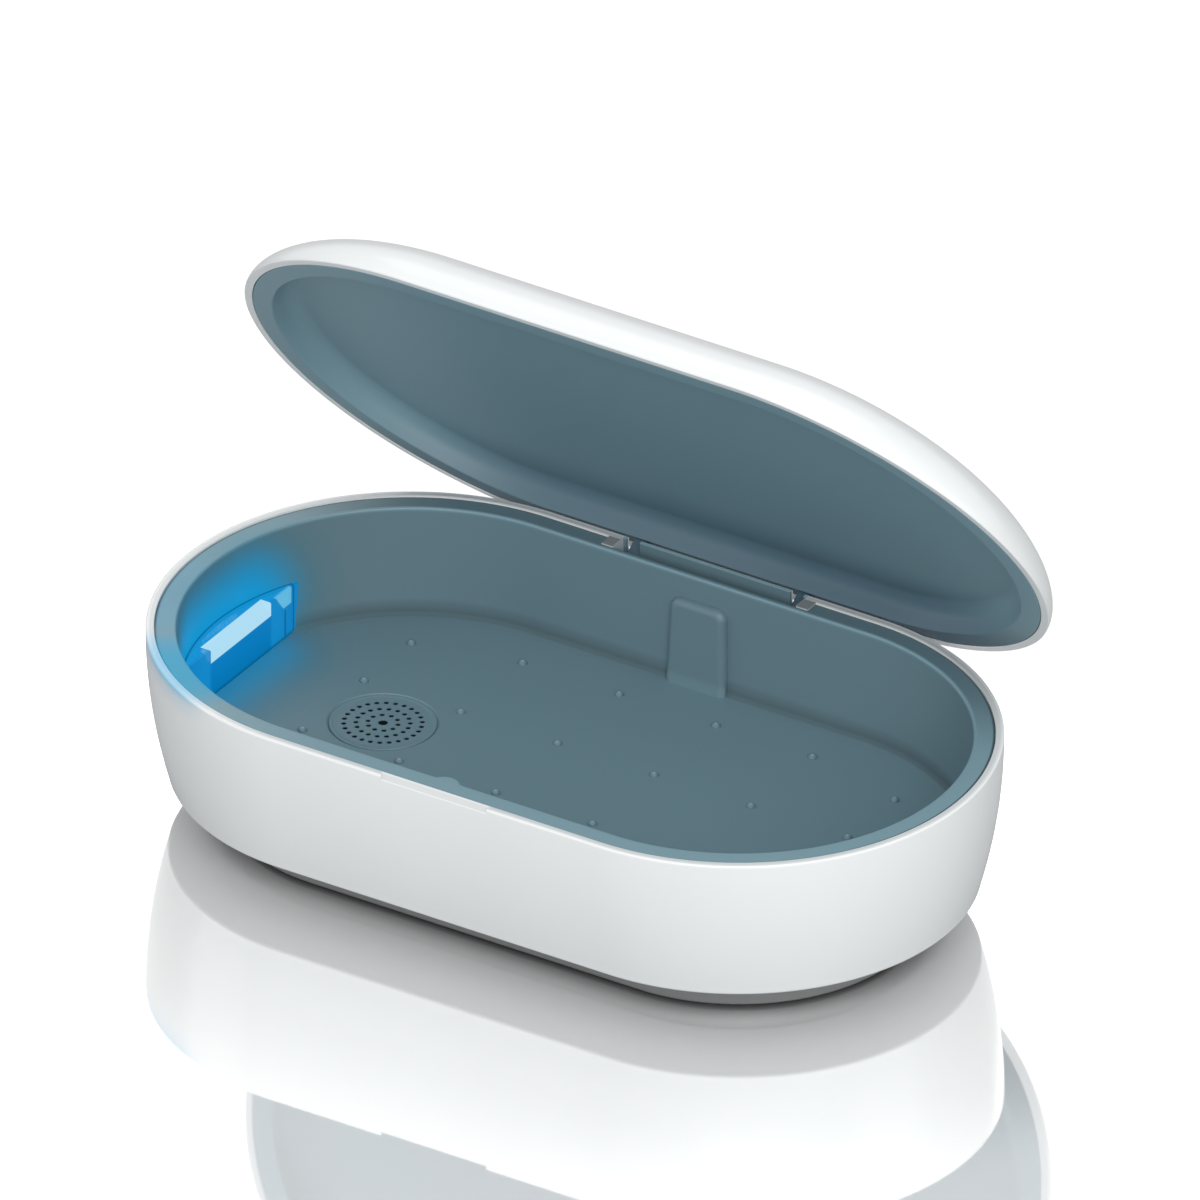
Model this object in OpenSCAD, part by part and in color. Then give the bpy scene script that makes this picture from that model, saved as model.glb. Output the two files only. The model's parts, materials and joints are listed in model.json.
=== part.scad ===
// Oblong sanitizer box for a phone, in millimetres.
// A white base holds a blue-grey tray with an ultraviolet lamp at its left end.
// A white lid with a blue-grey liner turns on a pin at the back and rests open.
// The origin is at the middle of the base, on the table. Z is up and the front faces -Y.

/* [Body] */
// Length of the base from end to end
body_length = 220; // [200:1:240]
// Width of the base, front to back
body_width = 126.8; // [110:0.2:140]
// Height of the base rim above the table
rim_height = 50; // [45:0.5:60]
// Wall thickness of the white base and lid
shell_wall = 2.1; // [1.8:0.1:2.6]
// Radius of the gentle inward curve of the base side, seen from the end
side_radius = 139; // [120:1:200]
// Height of the lower edge of the white side
foot_height = 12.3; // [9:0.1:14]
// Rounding of the outer edge of the rims
rim_round = 0.5; // [0.3:0.1:0.8]
// Rounding of the lower edge of the white side
foot_round = 1.2; // [0.8:0.1:1.6]
// Half length of the finger notch in the front rim
notch_half = 15.3; // [10:0.1:20]
// Depth of the finger notch at the outer edge
notch_drop = 1.2; // [0.6:0.1:1.6]
// Steps along the curve of the side wall
side_steps = 8; // [6:1:12]

/* [Plinth] */
// How far the plinth stands in from the rim
plinth_inset = 18.8; // [16:0.1:24]
// Gap between the plinth and the table, filled by the mat
plinth_lift = 0.4; // [0.2:0.1:0.8]
// Height where the plinth meets the white underside
plinth_top = 5.9; // [5:0.1:7]
// Thickness of the plinth floor
plinth_floor = 2.4; // [2:0.1:3]
// Thickness of the silicone mat
mat_thickness = 1.2; // [0.8:0.1:1.6]

/* [Tray] */
// Height of the tray floor above the table
tray_floor = 20.8; // [19:0.1:23]
// Thickness of the tray wall
tray_wall = 1.3; // [1.2:0.1:1.8]
// Thickness of the tray floor and of its rim
tray_plate = 1.5; // [1.2:0.1:2]
// Width of the tray rim
tray_rim = 5.1; // [4:0.1:6]
// How far the tray rim lies below the white rim
tray_rim_drop = 0.4; // [0.2:0.1:0.6]
// How much the tray narrows from rim to floor, on each side
tray_draft = 1.4; // [0.8:0.1:2]
// Rounding between tray floor and wall
tray_fillet = 1.2; // [1:0.1:4]
// Distance between neighbouring support bumps
bump_pitch = 27.4; // [24:0.1:30]
// Radius of a bump where it meets the floor
bump_radius = 1.2; // [0.8:0.1:1.6]
// Height of a bump
bump_height = 0.8; // [0.4:0.1:1.2]
// How far the corner bumps are drawn in
bump_shift = 6.5; // [0:0.5:10]

/* [Rear block] */
// Half width of the raised block at the tray floor
block_foot_half = 8.5; // [6:0.1:12]
// Half width of the raised block near its top
block_top_half = 7.8; // [5:0.1:11]
// Height of the top of the block above the table
block_top = 43.5; // [38:0.1:46]
// How far the block stands out from the rear wall
block_proud = 2.1; // [1:0.1:3]
// Rounding of the block corners
block_corner = 2.4; // [1:0.1:3]
// Rounding of the front edges of the block
block_edge = 1.2; // [0.5:0.1:1.6]

/* [Lid sensor boss] */
// Radius of the half-round boss inside the front wall
boss_radius = 3.8; // [3:0.1:5]
// How far the boss stands out from the front wall
boss_proud = 1.5; // [1:0.1:2.5]
// Radius of the sensor
sensor_radius = 1.9; // [1.5:0.1:2.2]
// Height of the sensor
sensor_height = 3; // [2:0.1:4]

/* [Lid] */
// Height of the closed lid
lid_height = 19; // [15:0.1:22]
// Height of the upright part of the lid side
lid_skirt = 1; // [0.5:0.1:3]
// How far the rounding of the lid reaches inwards
crown_reach = 34; // [20:1:45]
// Fullness of the rounding, where 2 is a plain ellipse
crown_power = 1.72; // [1.5:0.01:2.5]
// Gap between the closed lid and the base
lid_gap = 0.4; // [0.3:0.05:0.8]
// Angle at which the lid rests open
open_angle = 55.2; // [40:0.1:60]
// Steps along the rounding of the lid
crown_steps = 16; // [10:1:24]
// Depth of the hollow in the lid liner
liner_depth = 6.5; // [4:0.1:8]
// Width of the flat border of the lid liner
liner_border = 5.3; // [4:0.1:7]
// Thickness of the lid liner
liner_plate = 1.3; // [1.2:0.1:1.6]
// Radius of the soft corner inside the liner
liner_fillet = 5; // [3:0.1:6]

/* [Hinge] */
// Distance of the hinge pin behind the middle of the base
hinge_y = 59.5; // [57:0.1:61]
// Height of the hinge pin above the table
hinge_z = 42.8; // [40:0.1:45]
// Radius of the hinge pin
pin_radius = 1; // [0.8:0.05:1.2]
// Running clearance around the pin
pin_play = 0.05; // [0.02:0.01:0.1]
// Radius of the hinge eyes
eye_radius = 2.1; // [1.8:0.1:2.4]
// Half width of the hinge trough
trough_half = 26; // [20:0.1:30]
// Thickness of the end walls of the trough
trough_end = 3.2; // [2.5:0.1:4]
// Thickness of the rear wall behind the trough
trough_back = 1.2; // [1:0.1:1.6]
// Height of the trough floor
trough_floor = 40; // [38:0.1:41]
// Distance from the middle to the inner face of each arm
arm_inner = 21.5; // [18:0.1:23]
// Width of each arm
arm_width = 3.4; // [2.5:0.1:4]
// Thickness of each arm
arm_thickness = 2.4; // [2:0.1:3]
// Clearance between the lid and the fixed parts
hinge_clear = 0.4; // [0.3:0.05:0.6]
// Height of the notch floor in the rear wall under each arm
arm_notch = 42.4; // [41:0.1:44]
// Radius of the relief under the lid, around the pin
relief_radius = 8.5; // [8:0.1:9]
// Half length of the relief under the lid
relief_half = 67; // [50:1:80]
// Radius of the relief at its tapered ends
relief_end_radius = 7.55; // [7.5:0.05:8]

/* [Lamp] */
// Distance of the flat lamp window from the middle of the base
window_x = 95.1; // [90:0.1:98]
// Height of the lamp window above the tray floor
window_height = 13.1; // [10:0.1:16]
// Rounding of the upper edge of the window
window_round = 3.6; // [2:0.1:5]
// Thickness of the window
window_wall = 1; // [0.8:0.1:1.5]
// Radius of the lamp tube
tube_radius = 1.4; // [1.2:0.1:1.5]
// Visible length of the lamp tube
tube_length = 26.4; // [20:0.2:27]
// Distance of the tube axis behind the window face
tube_depth = 2.8; // [2.7:0.1:3]
// Height of the tube axis above the tray floor
tube_height = 9; // [7:0.1:9.4]
// How far the tube is set towards the back
tube_shift = 0.7; // [0:0.1:1]
// Radius of the lamp caps
cap_radius = 1.7; // [1.5:0.1:1.8]
// Length of the lamp caps
cap_length = 5; // [4.5:0.1:5.5]
// Thickness of the reflector sheet
reflector_sheet = 0.4; // [0.3:0.1:0.5]

/* [Aroma disc] */
// Distance of the disc from the middle of the base
disc_x = 54.4; // [45:0.1:60]
// Radius of the disc
disc_radius = 13; // [10:0.1:16]
// Thickness of the disc
disc_thickness = 1.6; // [1.2:0.1:2]
// Radius of the raised ring on the disc
disc_ring = 11.9; // [10:0.1:12.5]
// Radius of the small holes
hole_radius = 0.58; // [0.4:0.01:0.7]
// Radius of the middle hole
middle_hole = 1.2; // [0.8:0.1:1.6]
// Depth of the cup under the disc
cup_depth = 6.4; // [4:0.1:7]
// Thickness of the scent pad
pad_thickness = 2.6; // [1.5:0.1:4]

/* [Electronics] */
// Left edge of the circuit board
board_left = -30; // [-34:1:-20]
// Right edge of the circuit board
board_right = 56; // [54:1:56]
// Front edge of the circuit board
board_front = -22; // [-26:1:-20]
// Rear edge of the circuit board
board_rear = 53.4; // [52:0.2:53.6]
// Height of the top of the circuit board
board_top = 13.6; // [13:0.1:14.5]
// Thickness of the circuit board
board_plate = 1.6; // [1:0.1:2]
// Width of the charging socket
socket_width = 8.9; // [8.9:0.1:9.2]
// Height of the charging socket
socket_height = 3.2; // [3.1:0.1:3.4]
// Length of the charging socket
socket_length = 7.3; // [6.5:0.1:8]
// Distance of the power button from the middle
button_x = 30; // [20:1:40]
// Height of the power button
button_z = 16.9; // [16.5:0.1:17]
// Radius of the power button
button_radius = 3.2; // [2.5:0.1:3.2]
// How far the button stands out
button_proud = 0.7; // [0.5:0.1:1]
// Gap around the button
button_gap = 0.35; // [0.3:0.05:0.5]
// Distance of the light from the middle
light_x = 21; // [15:1:24]
// Radius of the light guide
light_radius = 1.1; // [0.8:0.1:1.5]

/* [Fasteners] */
// Radius of the cover screw shanks
screw_radius = 1.25; // [1:0.05:1.5]
// Length of the cover screws under the head
screw_length = 9; // [7:0.5:12]
// Radius of the cover screw heads
head_radius = 2.4; // [2:0.1:3]
// Height of the cover screw heads
head_height = 0.7; // [0.6:0.1:0.8]
// Radius of the small screw shanks
small_screw = 0.9; // [0.8:0.05:1.1]
// Radius of the small screw heads
small_head = 1.7; // [1.5:0.1:1.9]
// Height of the small screw heads
small_head_height = 0.9; // [0.8:0.1:1.2]
// Play around the screws
screw_play = 0.05; // [0.03:0.01:0.1]

/* [Hidden] */

// Colours
white = [0.94, 0.95, 0.95];
blue_grey = [0.42, 0.52, 0.56];
soft_grey = [0.45, 0.47, 0.48];
steel = [0.72, 0.73, 0.75];
silver = [0.85, 0.86, 0.88];
board_green = [0.10, 0.35, 0.22];
dark = [0.12, 0.12, 0.13];
clear_blue = [0.35, 0.70, 0.95, 0.4];
lit_blue = [0.70, 0.88, 1.00];
copper = [0.72, 0.45, 0.25];
felt = [0.90, 0.89, 0.84];

// Smoothness
fn_big = 180;
fn_mid = 48;
fn_small = 24;
fn_hole = 14;

// Shapes are cut a little past the surfaces they open
eps = 0.5;
wall_cut = 10;

// Derived sizes of the body
rim_radius = body_width / 2;
spine_half = body_length / 2 - rim_radius;
strip_inner = rim_radius - shell_wall;
plinth_radius = rim_radius - plinth_inset;
opening_radius = plinth_radius - 2.4;
underside_rise = 0.4;
spigot_wall = 1.6;
spigot_gap = 0.2;

// Derived sizes of the tray
tray_top = rim_height - tray_rim_drop;
tray_gap = 0.15;
tray_rim_outer = strip_inner - tray_gap;
tray_inner = tray_rim_outer - tray_rim;
tray_foot = tray_inner - tray_draft;
tray_under = tray_floor - tray_plate;
tray_rim_round = 0.5;
draft_slope = tray_draft / (tray_top - tray_floor);
bump_ball = (bump_radius * bump_radius + bump_height * bump_height) / (2 * bump_height);

// Derived sizes of the lid
lid_plane = rim_height + lid_gap;
lid_top = lid_plane + lid_height;
liner_outer = strip_inner - tray_gap;
liner_inner = liner_outer - liner_border;
bar_bottom = lid_plane + liner_plate + 0.2;
bar_top = bar_bottom + 1.6;
bar_rear = hinge_y + 1;
bar_front = liner_inner + liner_plate + 0.2;
bar_half = arm_inner + arm_width;
bracket_screw_x = [-14, 0, 14];
bracket_screw_y = (bar_front + bar_rear) / 2;
bracket_shank = 0.8;
bracket_head = 1.3;
bracket_head_height = 0.7;
bracket_boss = 2.3;

// Screw places
cover_screw_spots = [[-72, 20], [-72, -20], [72, 20], [72, -20], [-18, -33], [-18, 33]];
cover_boss = 3.2;
board_screw_spots = [[-24, -16], [50, -16], [-24, 47], [50, 46]];
board_post = 2.3;

// Aroma disc rings: number of holes and radius of each ring
disc_rings = [[10, 3.7], [18, 6.5], [26, 9.4]];
disc_gap = 0.1;
ledge = 1.5;
cup_radius = disc_radius - ledge;
cup_wall = 1.2;

// Lamp places
tube_x = -(window_x + tube_depth);
tube_z = tray_floor + tube_height;
tube_front = tube_shift - tube_length / 2;
tube_rear = tube_shift + tube_length / 2;

// Lamp wires: radius, half their spacing and the place of their hole
lead_radius = 0.4;
lead_spread = 0.55;
lead_x = tube_x + 0.5;
lead_y = tube_front - 2.9;
lead_z = board_top + 2.6;
lead_landing = board_left + 1.5;
foot_thickness = 1;

// Lid sensor places
sensor_y = -(tray_inner - boss_proud + boss_radius);
sensor_top = tray_top - tray_plate - 0.4;
sensor_low = sensor_top - sensor_height;

// Power button places
button_room = 0.8;
button_back = side_at(button_z) - shell_wall - button_room;
stem_front = board_rear + 0.3;

// Distance from the spine to the outside of the base at height z
function side_at(z) =
    rim_radius - side_radius + sqrt(side_radius * side_radius - pow(rim_height - z, 2));

// Points down the side of the base, drawn in by an inset
function side_points(inset, z_high, z_low) = [
    for (i = [0:side_steps])
        let (z = z_high + (z_low - z_high) * i / side_steps)
        [side_at(z) - inset, z]
];

// Points over the rounding of the lid
function crown_points(inset, reach, z_low, rise) = [
    for (i = [0:crown_steps])
        let (t = 90 * i / crown_steps)
        [
            rim_radius - inset - reach * (1 - pow(abs(cos(t)), 2 / crown_power)),
            z_low + rise * pow(sin(t), 2 / crown_power)
        ]
];

// Points around part of a circle
function arc_points(cx, cy, r, from, to, steps) = [
    for (i = [0:steps])
        let (t = from + (to - from) * i / steps)
        [cx + r * cos(t), cy + r * sin(t)]
];

function reversed(list) = [for (i = [len(list) - 1:-1:0]) list[i]];

// Sweeps a flat profile around the oblong: x is the distance from the spine, y is height
module around() {
    translate([spine_half, 0, 0])
        rotate_extrude(angle = 180, start = -90, $fn = fn_big)
            children();
    translate([-spine_half, 0, 0])
        rotate_extrude(angle = 180, start = 90, $fn = fn_big)
            children();
    translate([-spine_half, 0, 0])
        rotate([90, 0, 90])
            linear_extrude(2 * spine_half)
                children();
    translate([spine_half, 0, 0])
        rotate([90, 0, -90])
            linear_extrude(2 * spine_half)
                children();
}

// A flat-ended oblong block between two heights
module oblong(radius, z_low, z_high) {
    around()
        translate([0, z_low])
            square([radius, z_high - z_low]);
}

// A box given by its low and high corners
module box(low, high) {
    translate(low)
        cube(high - low);
}

// A rod along Y between two places
module rod_y(x, z, radius, y_low, y_high, facets) {
    translate([x, y_high, z])
        rotate([90, 0, 0])
            cylinder(r = radius, h = y_high - y_low, $fn = facets);
}

// A rod along X between two places
module rod_x(y, z, radius, x_low, x_high, facets) {
    translate([x_low, y, z])
        rotate([0, 90, 0])
            cylinder(r = radius, h = x_high - x_low, $fn = facets);
}

// A rod along Z between two heights
module rod_z(x, y, radius, z_low, z_high, facets) {
    translate([x, y, z_low])
        cylinder(r = radius, h = z_high - z_low, $fn = facets);
}

// Turns a closed lid piece to its open resting place
module opened() {
    translate([0, hinge_y, hinge_z])
        rotate([-open_angle, 0, 0])
            translate([0, -hinge_y, -hinge_z])
                children();
}

// Outline of the white base wall and its underside
module base_profile() {
    outer = concat(
        [[strip_inner, rim_height], [rim_radius - rim_round, rim_height]],
        arc_points(rim_radius - rim_round, rim_height - rim_round, rim_round, 60, 30, 1),
        side_points(0, rim_height - rim_round, foot_height),
        arc_points(side_at(foot_height) - foot_round, foot_height, foot_round, -20, -72, 3)
    );
    under_start = [
        side_at(foot_height) - foot_round,
        foot_height - foot_round
    ];
    under_z = under_start[1] - (under_start[0] - opening_radius) * underside_rise;
    inner_low = foot_height + 0.3;
    // A small ledge inside the wall carries the rim of the tray
    ledge_z = tray_top - tray_plate;
    ledge_radius = strip_inner - 1.1;
    ledge_edge = 0.6;
    ledge_slope = 2;
    inner = concat(
        [[opening_radius, under_z], [opening_radius, under_z + shell_wall]],
        reversed(side_points(shell_wall, ledge_z - ledge_slope, inner_low)),
        [
            [ledge_radius, ledge_z - ledge_edge],
            [ledge_radius, ledge_z],
            [strip_inner, ledge_z]
        ]
    );
    polygon(concat(outer, inner));
}

// White walls that close the hinge trough at its ends and below
module hinge_trough() {
    inner_face = side_at(rim_height) - trough_back;
    tray_side = hinge_y - eye_radius + 0.1;
    trough_under = trough_floor - 1.6;
    difference() {
        box(
            [-trough_half - trough_end, tray_side, trough_under],
            [trough_half + trough_end, inner_face, rim_height]
        );
        box(
            [-trough_half, tray_side - eps, trough_floor],
            [trough_half, inner_face + eps, rim_height + eps]
        );
    }
}

// Wedge taken from the front rim for a fingertip
module finger_notch() {
    inner_y = -(rim_radius - shell_wall + 0.1);
    outer_y = -(rim_radius + eps);
    slope_end = rim_height - notch_drop * (1 + eps / shell_wall);
    slant = 1.4;
    intersection() {
        translate([-notch_half - eps, 0, 0])
            rotate([90, 0, 90])
                linear_extrude(2 * notch_half + 2 * eps)
                    polygon([
                        [outer_y, slope_end],
                        [outer_y, rim_height + eps],
                        [inner_y, rim_height + eps],
                        [inner_y, rim_height]
                    ]);
        linear_extrude(rim_height + 2 * eps)
            polygon([
                [-notch_half - 0.3, inner_y],
                [-notch_half + slant, outer_y],
                [notch_half, outer_y],
                [notch_half, inner_y]
            ]);
    }
}

module base_shell() {
    inner_face = side_at(rim_height) - trough_back;
    socket_z = board_top + socket_height / 2;
    socket_room = 0.35;
    color(white)
        difference() {
            union() {
                around()
                    base_profile();
                hinge_trough();
            }
            // Hollow of the hinge trough
            box(
                [-trough_half, hinge_y, trough_floor],
                [trough_half, inner_face, rim_height + eps]
            );
            // Notches that let the arms swing back
            for (side = [-1, 1])
                box(
                    [
                        side < 0 ? -bar_half - hinge_clear : arm_inner - hinge_clear,
                        inner_face - eps,
                        arm_notch
                    ],
                    [
                        side < 0 ? -arm_inner + hinge_clear : bar_half + hinge_clear,
                        rim_radius + eps,
                        rim_height + eps
                    ]
                );
            // Seats of the hinge pin
            rod_x(
                hinge_y, hinge_z, pin_radius + screw_play,
                -trough_half - trough_end + eps, trough_half + trough_end - eps, fn_small
            );
            finger_notch();
            // Opening of the charging socket, with round ends
            for (side = [-1, 1])
                rod_y(
                    side * (socket_width - socket_height) / 2, socket_z,
                    socket_height / 2 + socket_room,
                    rim_radius - wall_cut, rim_radius + eps, fn_small
                );
            box(
                [
                    -(socket_width - socket_height) / 2,
                    rim_radius - wall_cut,
                    socket_z - socket_height / 2 - socket_room
                ],
                [
                    (socket_width - socket_height) / 2,
                    rim_radius + eps,
                    socket_z + socket_height / 2 + socket_room
                ]
            );
            // Openings of the power button and the light guide
            rod_y(
                button_x, button_z, button_radius + button_gap,
                rim_radius - wall_cut, rim_radius + eps, fn_mid
            );
            rod_y(
                light_x, button_z, light_radius + screw_play,
                rim_radius - wall_cut, rim_radius + eps, fn_small
            );
        }
}

// Outline of the dark plinth
module cover_profile() {
    edge = 0.5;
    spigot_outer = opening_radius - spigot_gap;
    spigot_inner = spigot_outer - spigot_wall;
    shoulder = plinth_top - (plinth_radius - opening_radius) * underside_rise;
    spigot_top = shoulder + 2.9;
    floor_top = plinth_lift + plinth_floor;
    polygon([
        [0, plinth_lift],
        [plinth_radius - edge, plinth_lift],
        [plinth_radius, plinth_lift + edge],
        [plinth_radius, plinth_top],
        [opening_radius, shoulder],
        [spigot_outer, shoulder],
        [spigot_outer, spigot_top],
        [spigot_inner, spigot_top],
        [spigot_inner, floor_top],
        [0, floor_top]
    ]);
}

module bottom_cover() {
    mat_room = 0.1;
    color(soft_grey)
        difference() {
            around()
                cover_profile();
            oblong(spigot_inner_radius() + mat_room, plinth_lift - eps, mat_thickness);
            for (spot = cover_screw_spots) {
                rod_z(
                    spot[0], spot[1], screw_radius + 2 * screw_play,
                    0, plinth_lift + plinth_floor + eps, fn_small
                );
                rod_z(
                    spot[0], spot[1], head_radius + 2 * screw_play,
                    0, mat_thickness + head_height, fn_small
                );
            }
        }
}

function spigot_inner_radius() = opening_radius - spigot_gap - spigot_wall;

module anti_slip_mat() {
    color(dark)
        oblong(spigot_inner_radius(), 0, mat_thickness);
}

// Outline of the tray: floor, sloping wall and flat rim
module tray_profile() {
    wall_foot = tray_foot + tray_wall;
    wall_top = tray_inner + tray_wall;
    rim_under = tray_top - tray_plate;
    outer_round = tray_fillet + 0.6;
    polygon(concat(
        [[0, tray_under], [wall_foot - outer_round, tray_under]],
        arc_points(
            wall_foot - outer_round, tray_under + outer_round, outer_round, -60, -15, 3
        ),
        [
            [wall_top - draft_slope * tray_plate, rim_under],
            [tray_rim_outer, rim_under],
            [tray_rim_outer, tray_top],
            [tray_inner + tray_rim_round, tray_top]
        ],
        arc_points(
            tray_inner + tray_rim_round, tray_top - tray_rim_round, tray_rim_round, 120, 180, 2
        ),
        reversed(arc_points(
            tray_foot - tray_fillet, tray_floor + tray_fillet, tray_fillet, -90, -5, 5
        )),
        [[0, tray_floor]]
    ));
}

// Solid that fills the inside of the tray up to a height, drawn in from its wall
module cavity(inset, z_high) {
    around()
        polygon(concat(
            [[0, tray_floor], [tray_foot - tray_fillet, tray_floor]],
            arc_points(
                tray_foot - tray_fillet, tray_floor + tray_fillet, tray_fillet - inset, -90, -5, 5
            ),
            [
                [tray_foot + draft_slope * (z_high - tray_floor) - inset, z_high],
                [0, z_high]
            ]
        ));
}

// Raised block on the rear wall: front, side and top outlines crossed
module rear_block() {
    face_foot = tray_foot - block_proud;
    face_top = face_foot + draft_slope * (block_top - tray_floor);
    root_foot = tray_foot + tray_wall / 2;
    root = root_foot + draft_slope * (block_top - tray_floor);
    low = tray_floor - tray_plate / 4;
    corner_half = block_top_half - block_corner;
    intersection() {
        // Front outline with two round top corners
        translate([0, root, 0])
            rotate([90, 0, 0])
                linear_extrude(root - face_foot + eps)
                    union() {
                        polygon([
                            [-block_foot_half, low],
                            [block_foot_half, low],
                            [block_top_half, block_top - block_corner],
                            [-block_top_half, block_top - block_corner]
                        ]);
                        translate([-corner_half, block_top - 2 * block_corner])
                            square([2 * corner_half, 2 * block_corner]);
                        for (side = [-1, 1])
                            translate([side * corner_half, block_top - block_corner])
                                circle(r = block_corner, $fn = fn_small);
                    }
        // Side outline with a rounded top edge
        translate([-block_foot_half - eps, 0, 0])
            rotate([90, 0, 90])
                linear_extrude(2 * block_foot_half + 2 * eps)
                    polygon(concat(
                        [[root_foot, low], [root, block_top]],
                        arc_points(
                            face_top + block_edge, block_top - block_edge, block_edge, 90, 180, 4
                        ),
                        [[face_foot, low]]
                    ));
        // Top outline with rounded front edges
        translate([0, 0, low])
            linear_extrude(block_top - low)
                polygon(concat(
                    [[-block_foot_half, root], [-block_foot_half, face_top + block_edge]],
                    arc_points(
                        -block_foot_half + block_edge, face_foot + block_edge,
                        block_edge, 180, 270, 4
                    ),
                    arc_points(
                        block_foot_half - block_edge, face_foot + block_edge,
                        block_edge, 270, 360, 4
                    ),
                    [[block_foot_half, root]]
                ));
    }
}

// Half-round boss for the lid sensor on the front wall
module sensor_boss() {
    low = tray_floor - tray_plate / 4;
    intersection() {
        rod_z(0, sensor_y, boss_radius, low, tray_top, fn_mid);
        around()
            polygon([
                [0, low],
                [tray_foot + tray_wall / 2, low],
                [tray_inner + tray_wall / 2, tray_top],
                [0, tray_top]
            ]);
    }
}

// One bump: the top of a ball that is sunk in the floor
module bump(x, y) {
    intersection() {
        translate([x, y, tray_floor + bump_height - bump_ball])
            sphere(r = bump_ball, $fn = fn_small);
        box(
            [x - bump_ball, y - bump_ball, tray_floor - tray_plate / 3],
            [x + bump_ball, y + bump_ball, tray_floor + bump_height]
        );
    }
}

module bumps() {
    for (column = [-2.5:1:2.5])
        for (row = [-1.5:1:1.5]) {
            corner = abs(column) > 2 && abs(row) > 1;
            drawn_in = corner ? bump_shift * sign(row) : 0;
            bump(column * bump_pitch, row * bump_pitch - drawn_in);
        }
}

// Cup under the aroma disc
module aroma_cup() {
    rod_z(
        -disc_x, 0, disc_radius + disc_gap + cup_wall,
        tray_floor - disc_thickness - cup_depth - cup_wall, tray_floor - tray_plate / 2, fn_mid
    );
}

module tray() {
    disc_seat = tray_floor - disc_thickness;
    sensor_room = 0.3;
    lead_hole = 1.3;
    color(blue_grey)
        difference() {
            union() {
                around()
                    tray_profile();
                rear_block();
                sensor_boss();
                bumps();
                aroma_cup();
                for (spot = cover_screw_spots)
                    rod_z(
                        spot[0], spot[1], cover_boss,
                        plinth_lift + plinth_floor, tray_floor - tray_plate / 2, fn_small
                    );
                for (spot = board_screw_spots)
                    rod_z(
                        spot[0], spot[1], board_post,
                        board_top, tray_floor - tray_plate / 2, fn_small
                    );
            }
            // Seat of the disc and hollow of its cup
            rod_z(-disc_x, 0, disc_radius + disc_gap, disc_seat, tray_floor + eps, fn_mid);
            rod_z(-disc_x, 0, cup_radius, disc_seat - cup_depth, disc_seat + eps, fn_mid);
            // Room for the white walls of the hinge trough
            box(
                [-trough_half - trough_end - tray_gap, hinge_y - eye_radius, trough_floor - 3],
                [trough_half + trough_end + tray_gap, rim_radius, tray_top + eps]
            );
            // Pocket for the lid sensor, open towards the white wall
            rod_z(
                0, sensor_y, sensor_radius + sensor_room,
                sensor_low - 5, sensor_top + sensor_room, fn_small
            );
            for (spot = cover_screw_spots)
                rod_z(
                    spot[0], spot[1], screw_radius + screw_play,
                    0, plinth_lift + plinth_floor + screw_length, fn_small
                );
            for (spot = board_screw_spots)
                rod_z(
                    spot[0], spot[1], small_screw + screw_play,
                    board_top - eps, board_top + 4.6, fn_hole
                );
            // Hole for the lamp wires
            rod_z(lead_x, lead_y, lead_hole, tray_under - eps, tray_floor + eps, fn_small);
        }
}

module aroma_disc() {
    ring_width = 0.5;
    ring_rise = 0.2;
    disc_low = tray_floor - disc_thickness;
    color(blue_grey)
        translate([-disc_x, 0, disc_low])
            difference() {
                union() {
                    cylinder(r = disc_radius, h = disc_thickness - ring_rise, $fn = fn_big);
                    difference() {
                        cylinder(r = disc_ring, h = disc_thickness, $fn = fn_big);
                        translate([0, 0, disc_thickness - ring_rise])
                            cylinder(r = disc_ring - ring_width, h = 2 * ring_rise, $fn = fn_big);
                    }
                }
                translate([0, 0, -eps])
                    cylinder(r = middle_hole, h = disc_thickness + 2 * eps, $fn = fn_small);
                for (ring = disc_rings)
                    for (i = [0:ring[0] - 1])
                        rotate([0, 0, 360 * (i + 0.5) / ring[0]])
                            translate([ring[1], 0, -eps])
                                cylinder(
                                    r = hole_radius, h = disc_thickness + 2 * eps, $fn = fn_hole
                                );
            }
}

module scent_pad() {
    pad_low = tray_floor - disc_thickness - cup_depth;
    color(felt)
        rod_z(-disc_x, 0, cup_radius - 0.3, pad_low, pad_low + pad_thickness, fn_mid);
}

// Bar with the outline of the lamp window, from y_low to y_high. An inset gives its hollow
module window_bar(inset, round_radius, y_low, y_high) {
    back_x = -(body_length / 2);
    face_x = -window_x - inset;
    top_z = tray_floor + window_height - inset;
    translate([0, y_high, 0])
        rotate([90, 0, 0])
            linear_extrude(y_high - y_low)
                polygon(concat(
                    [[back_x, tray_floor - inset], [face_x, tray_floor - inset]],
                    arc_points(
                        face_x - round_radius, top_z - round_radius, round_radius, 0, 90, 8
                    ),
                    [[back_x, top_z]]
                ));
}

// The upper edge is round along the tube, and square beyond its ends
module window_block(inset) {
    half = 40;
    square_round = 0.4;
    window_bar(inset, window_round - inset, -half, half);
    for (side = [-1, 1]) {
        near = tube_shift + side * (tube_length / 2 + inset);
        window_bar(inset, square_round, side < 0 ? -half : near, side < 0 ? near : half);
    }
}

module lamp_window() {
    color(clear_blue)
        difference() {
            intersection() {
                window_block(0);
                cavity(0.15, tray_floor + window_height + eps);
            }
            // The back is open against the tray wall
            window_block(window_wall);
        }
}

module uv_tube() {
    color(lit_blue)
        rod_y(tube_x, tube_z, tube_radius, tube_front, tube_rear, fn_mid);
}

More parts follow.
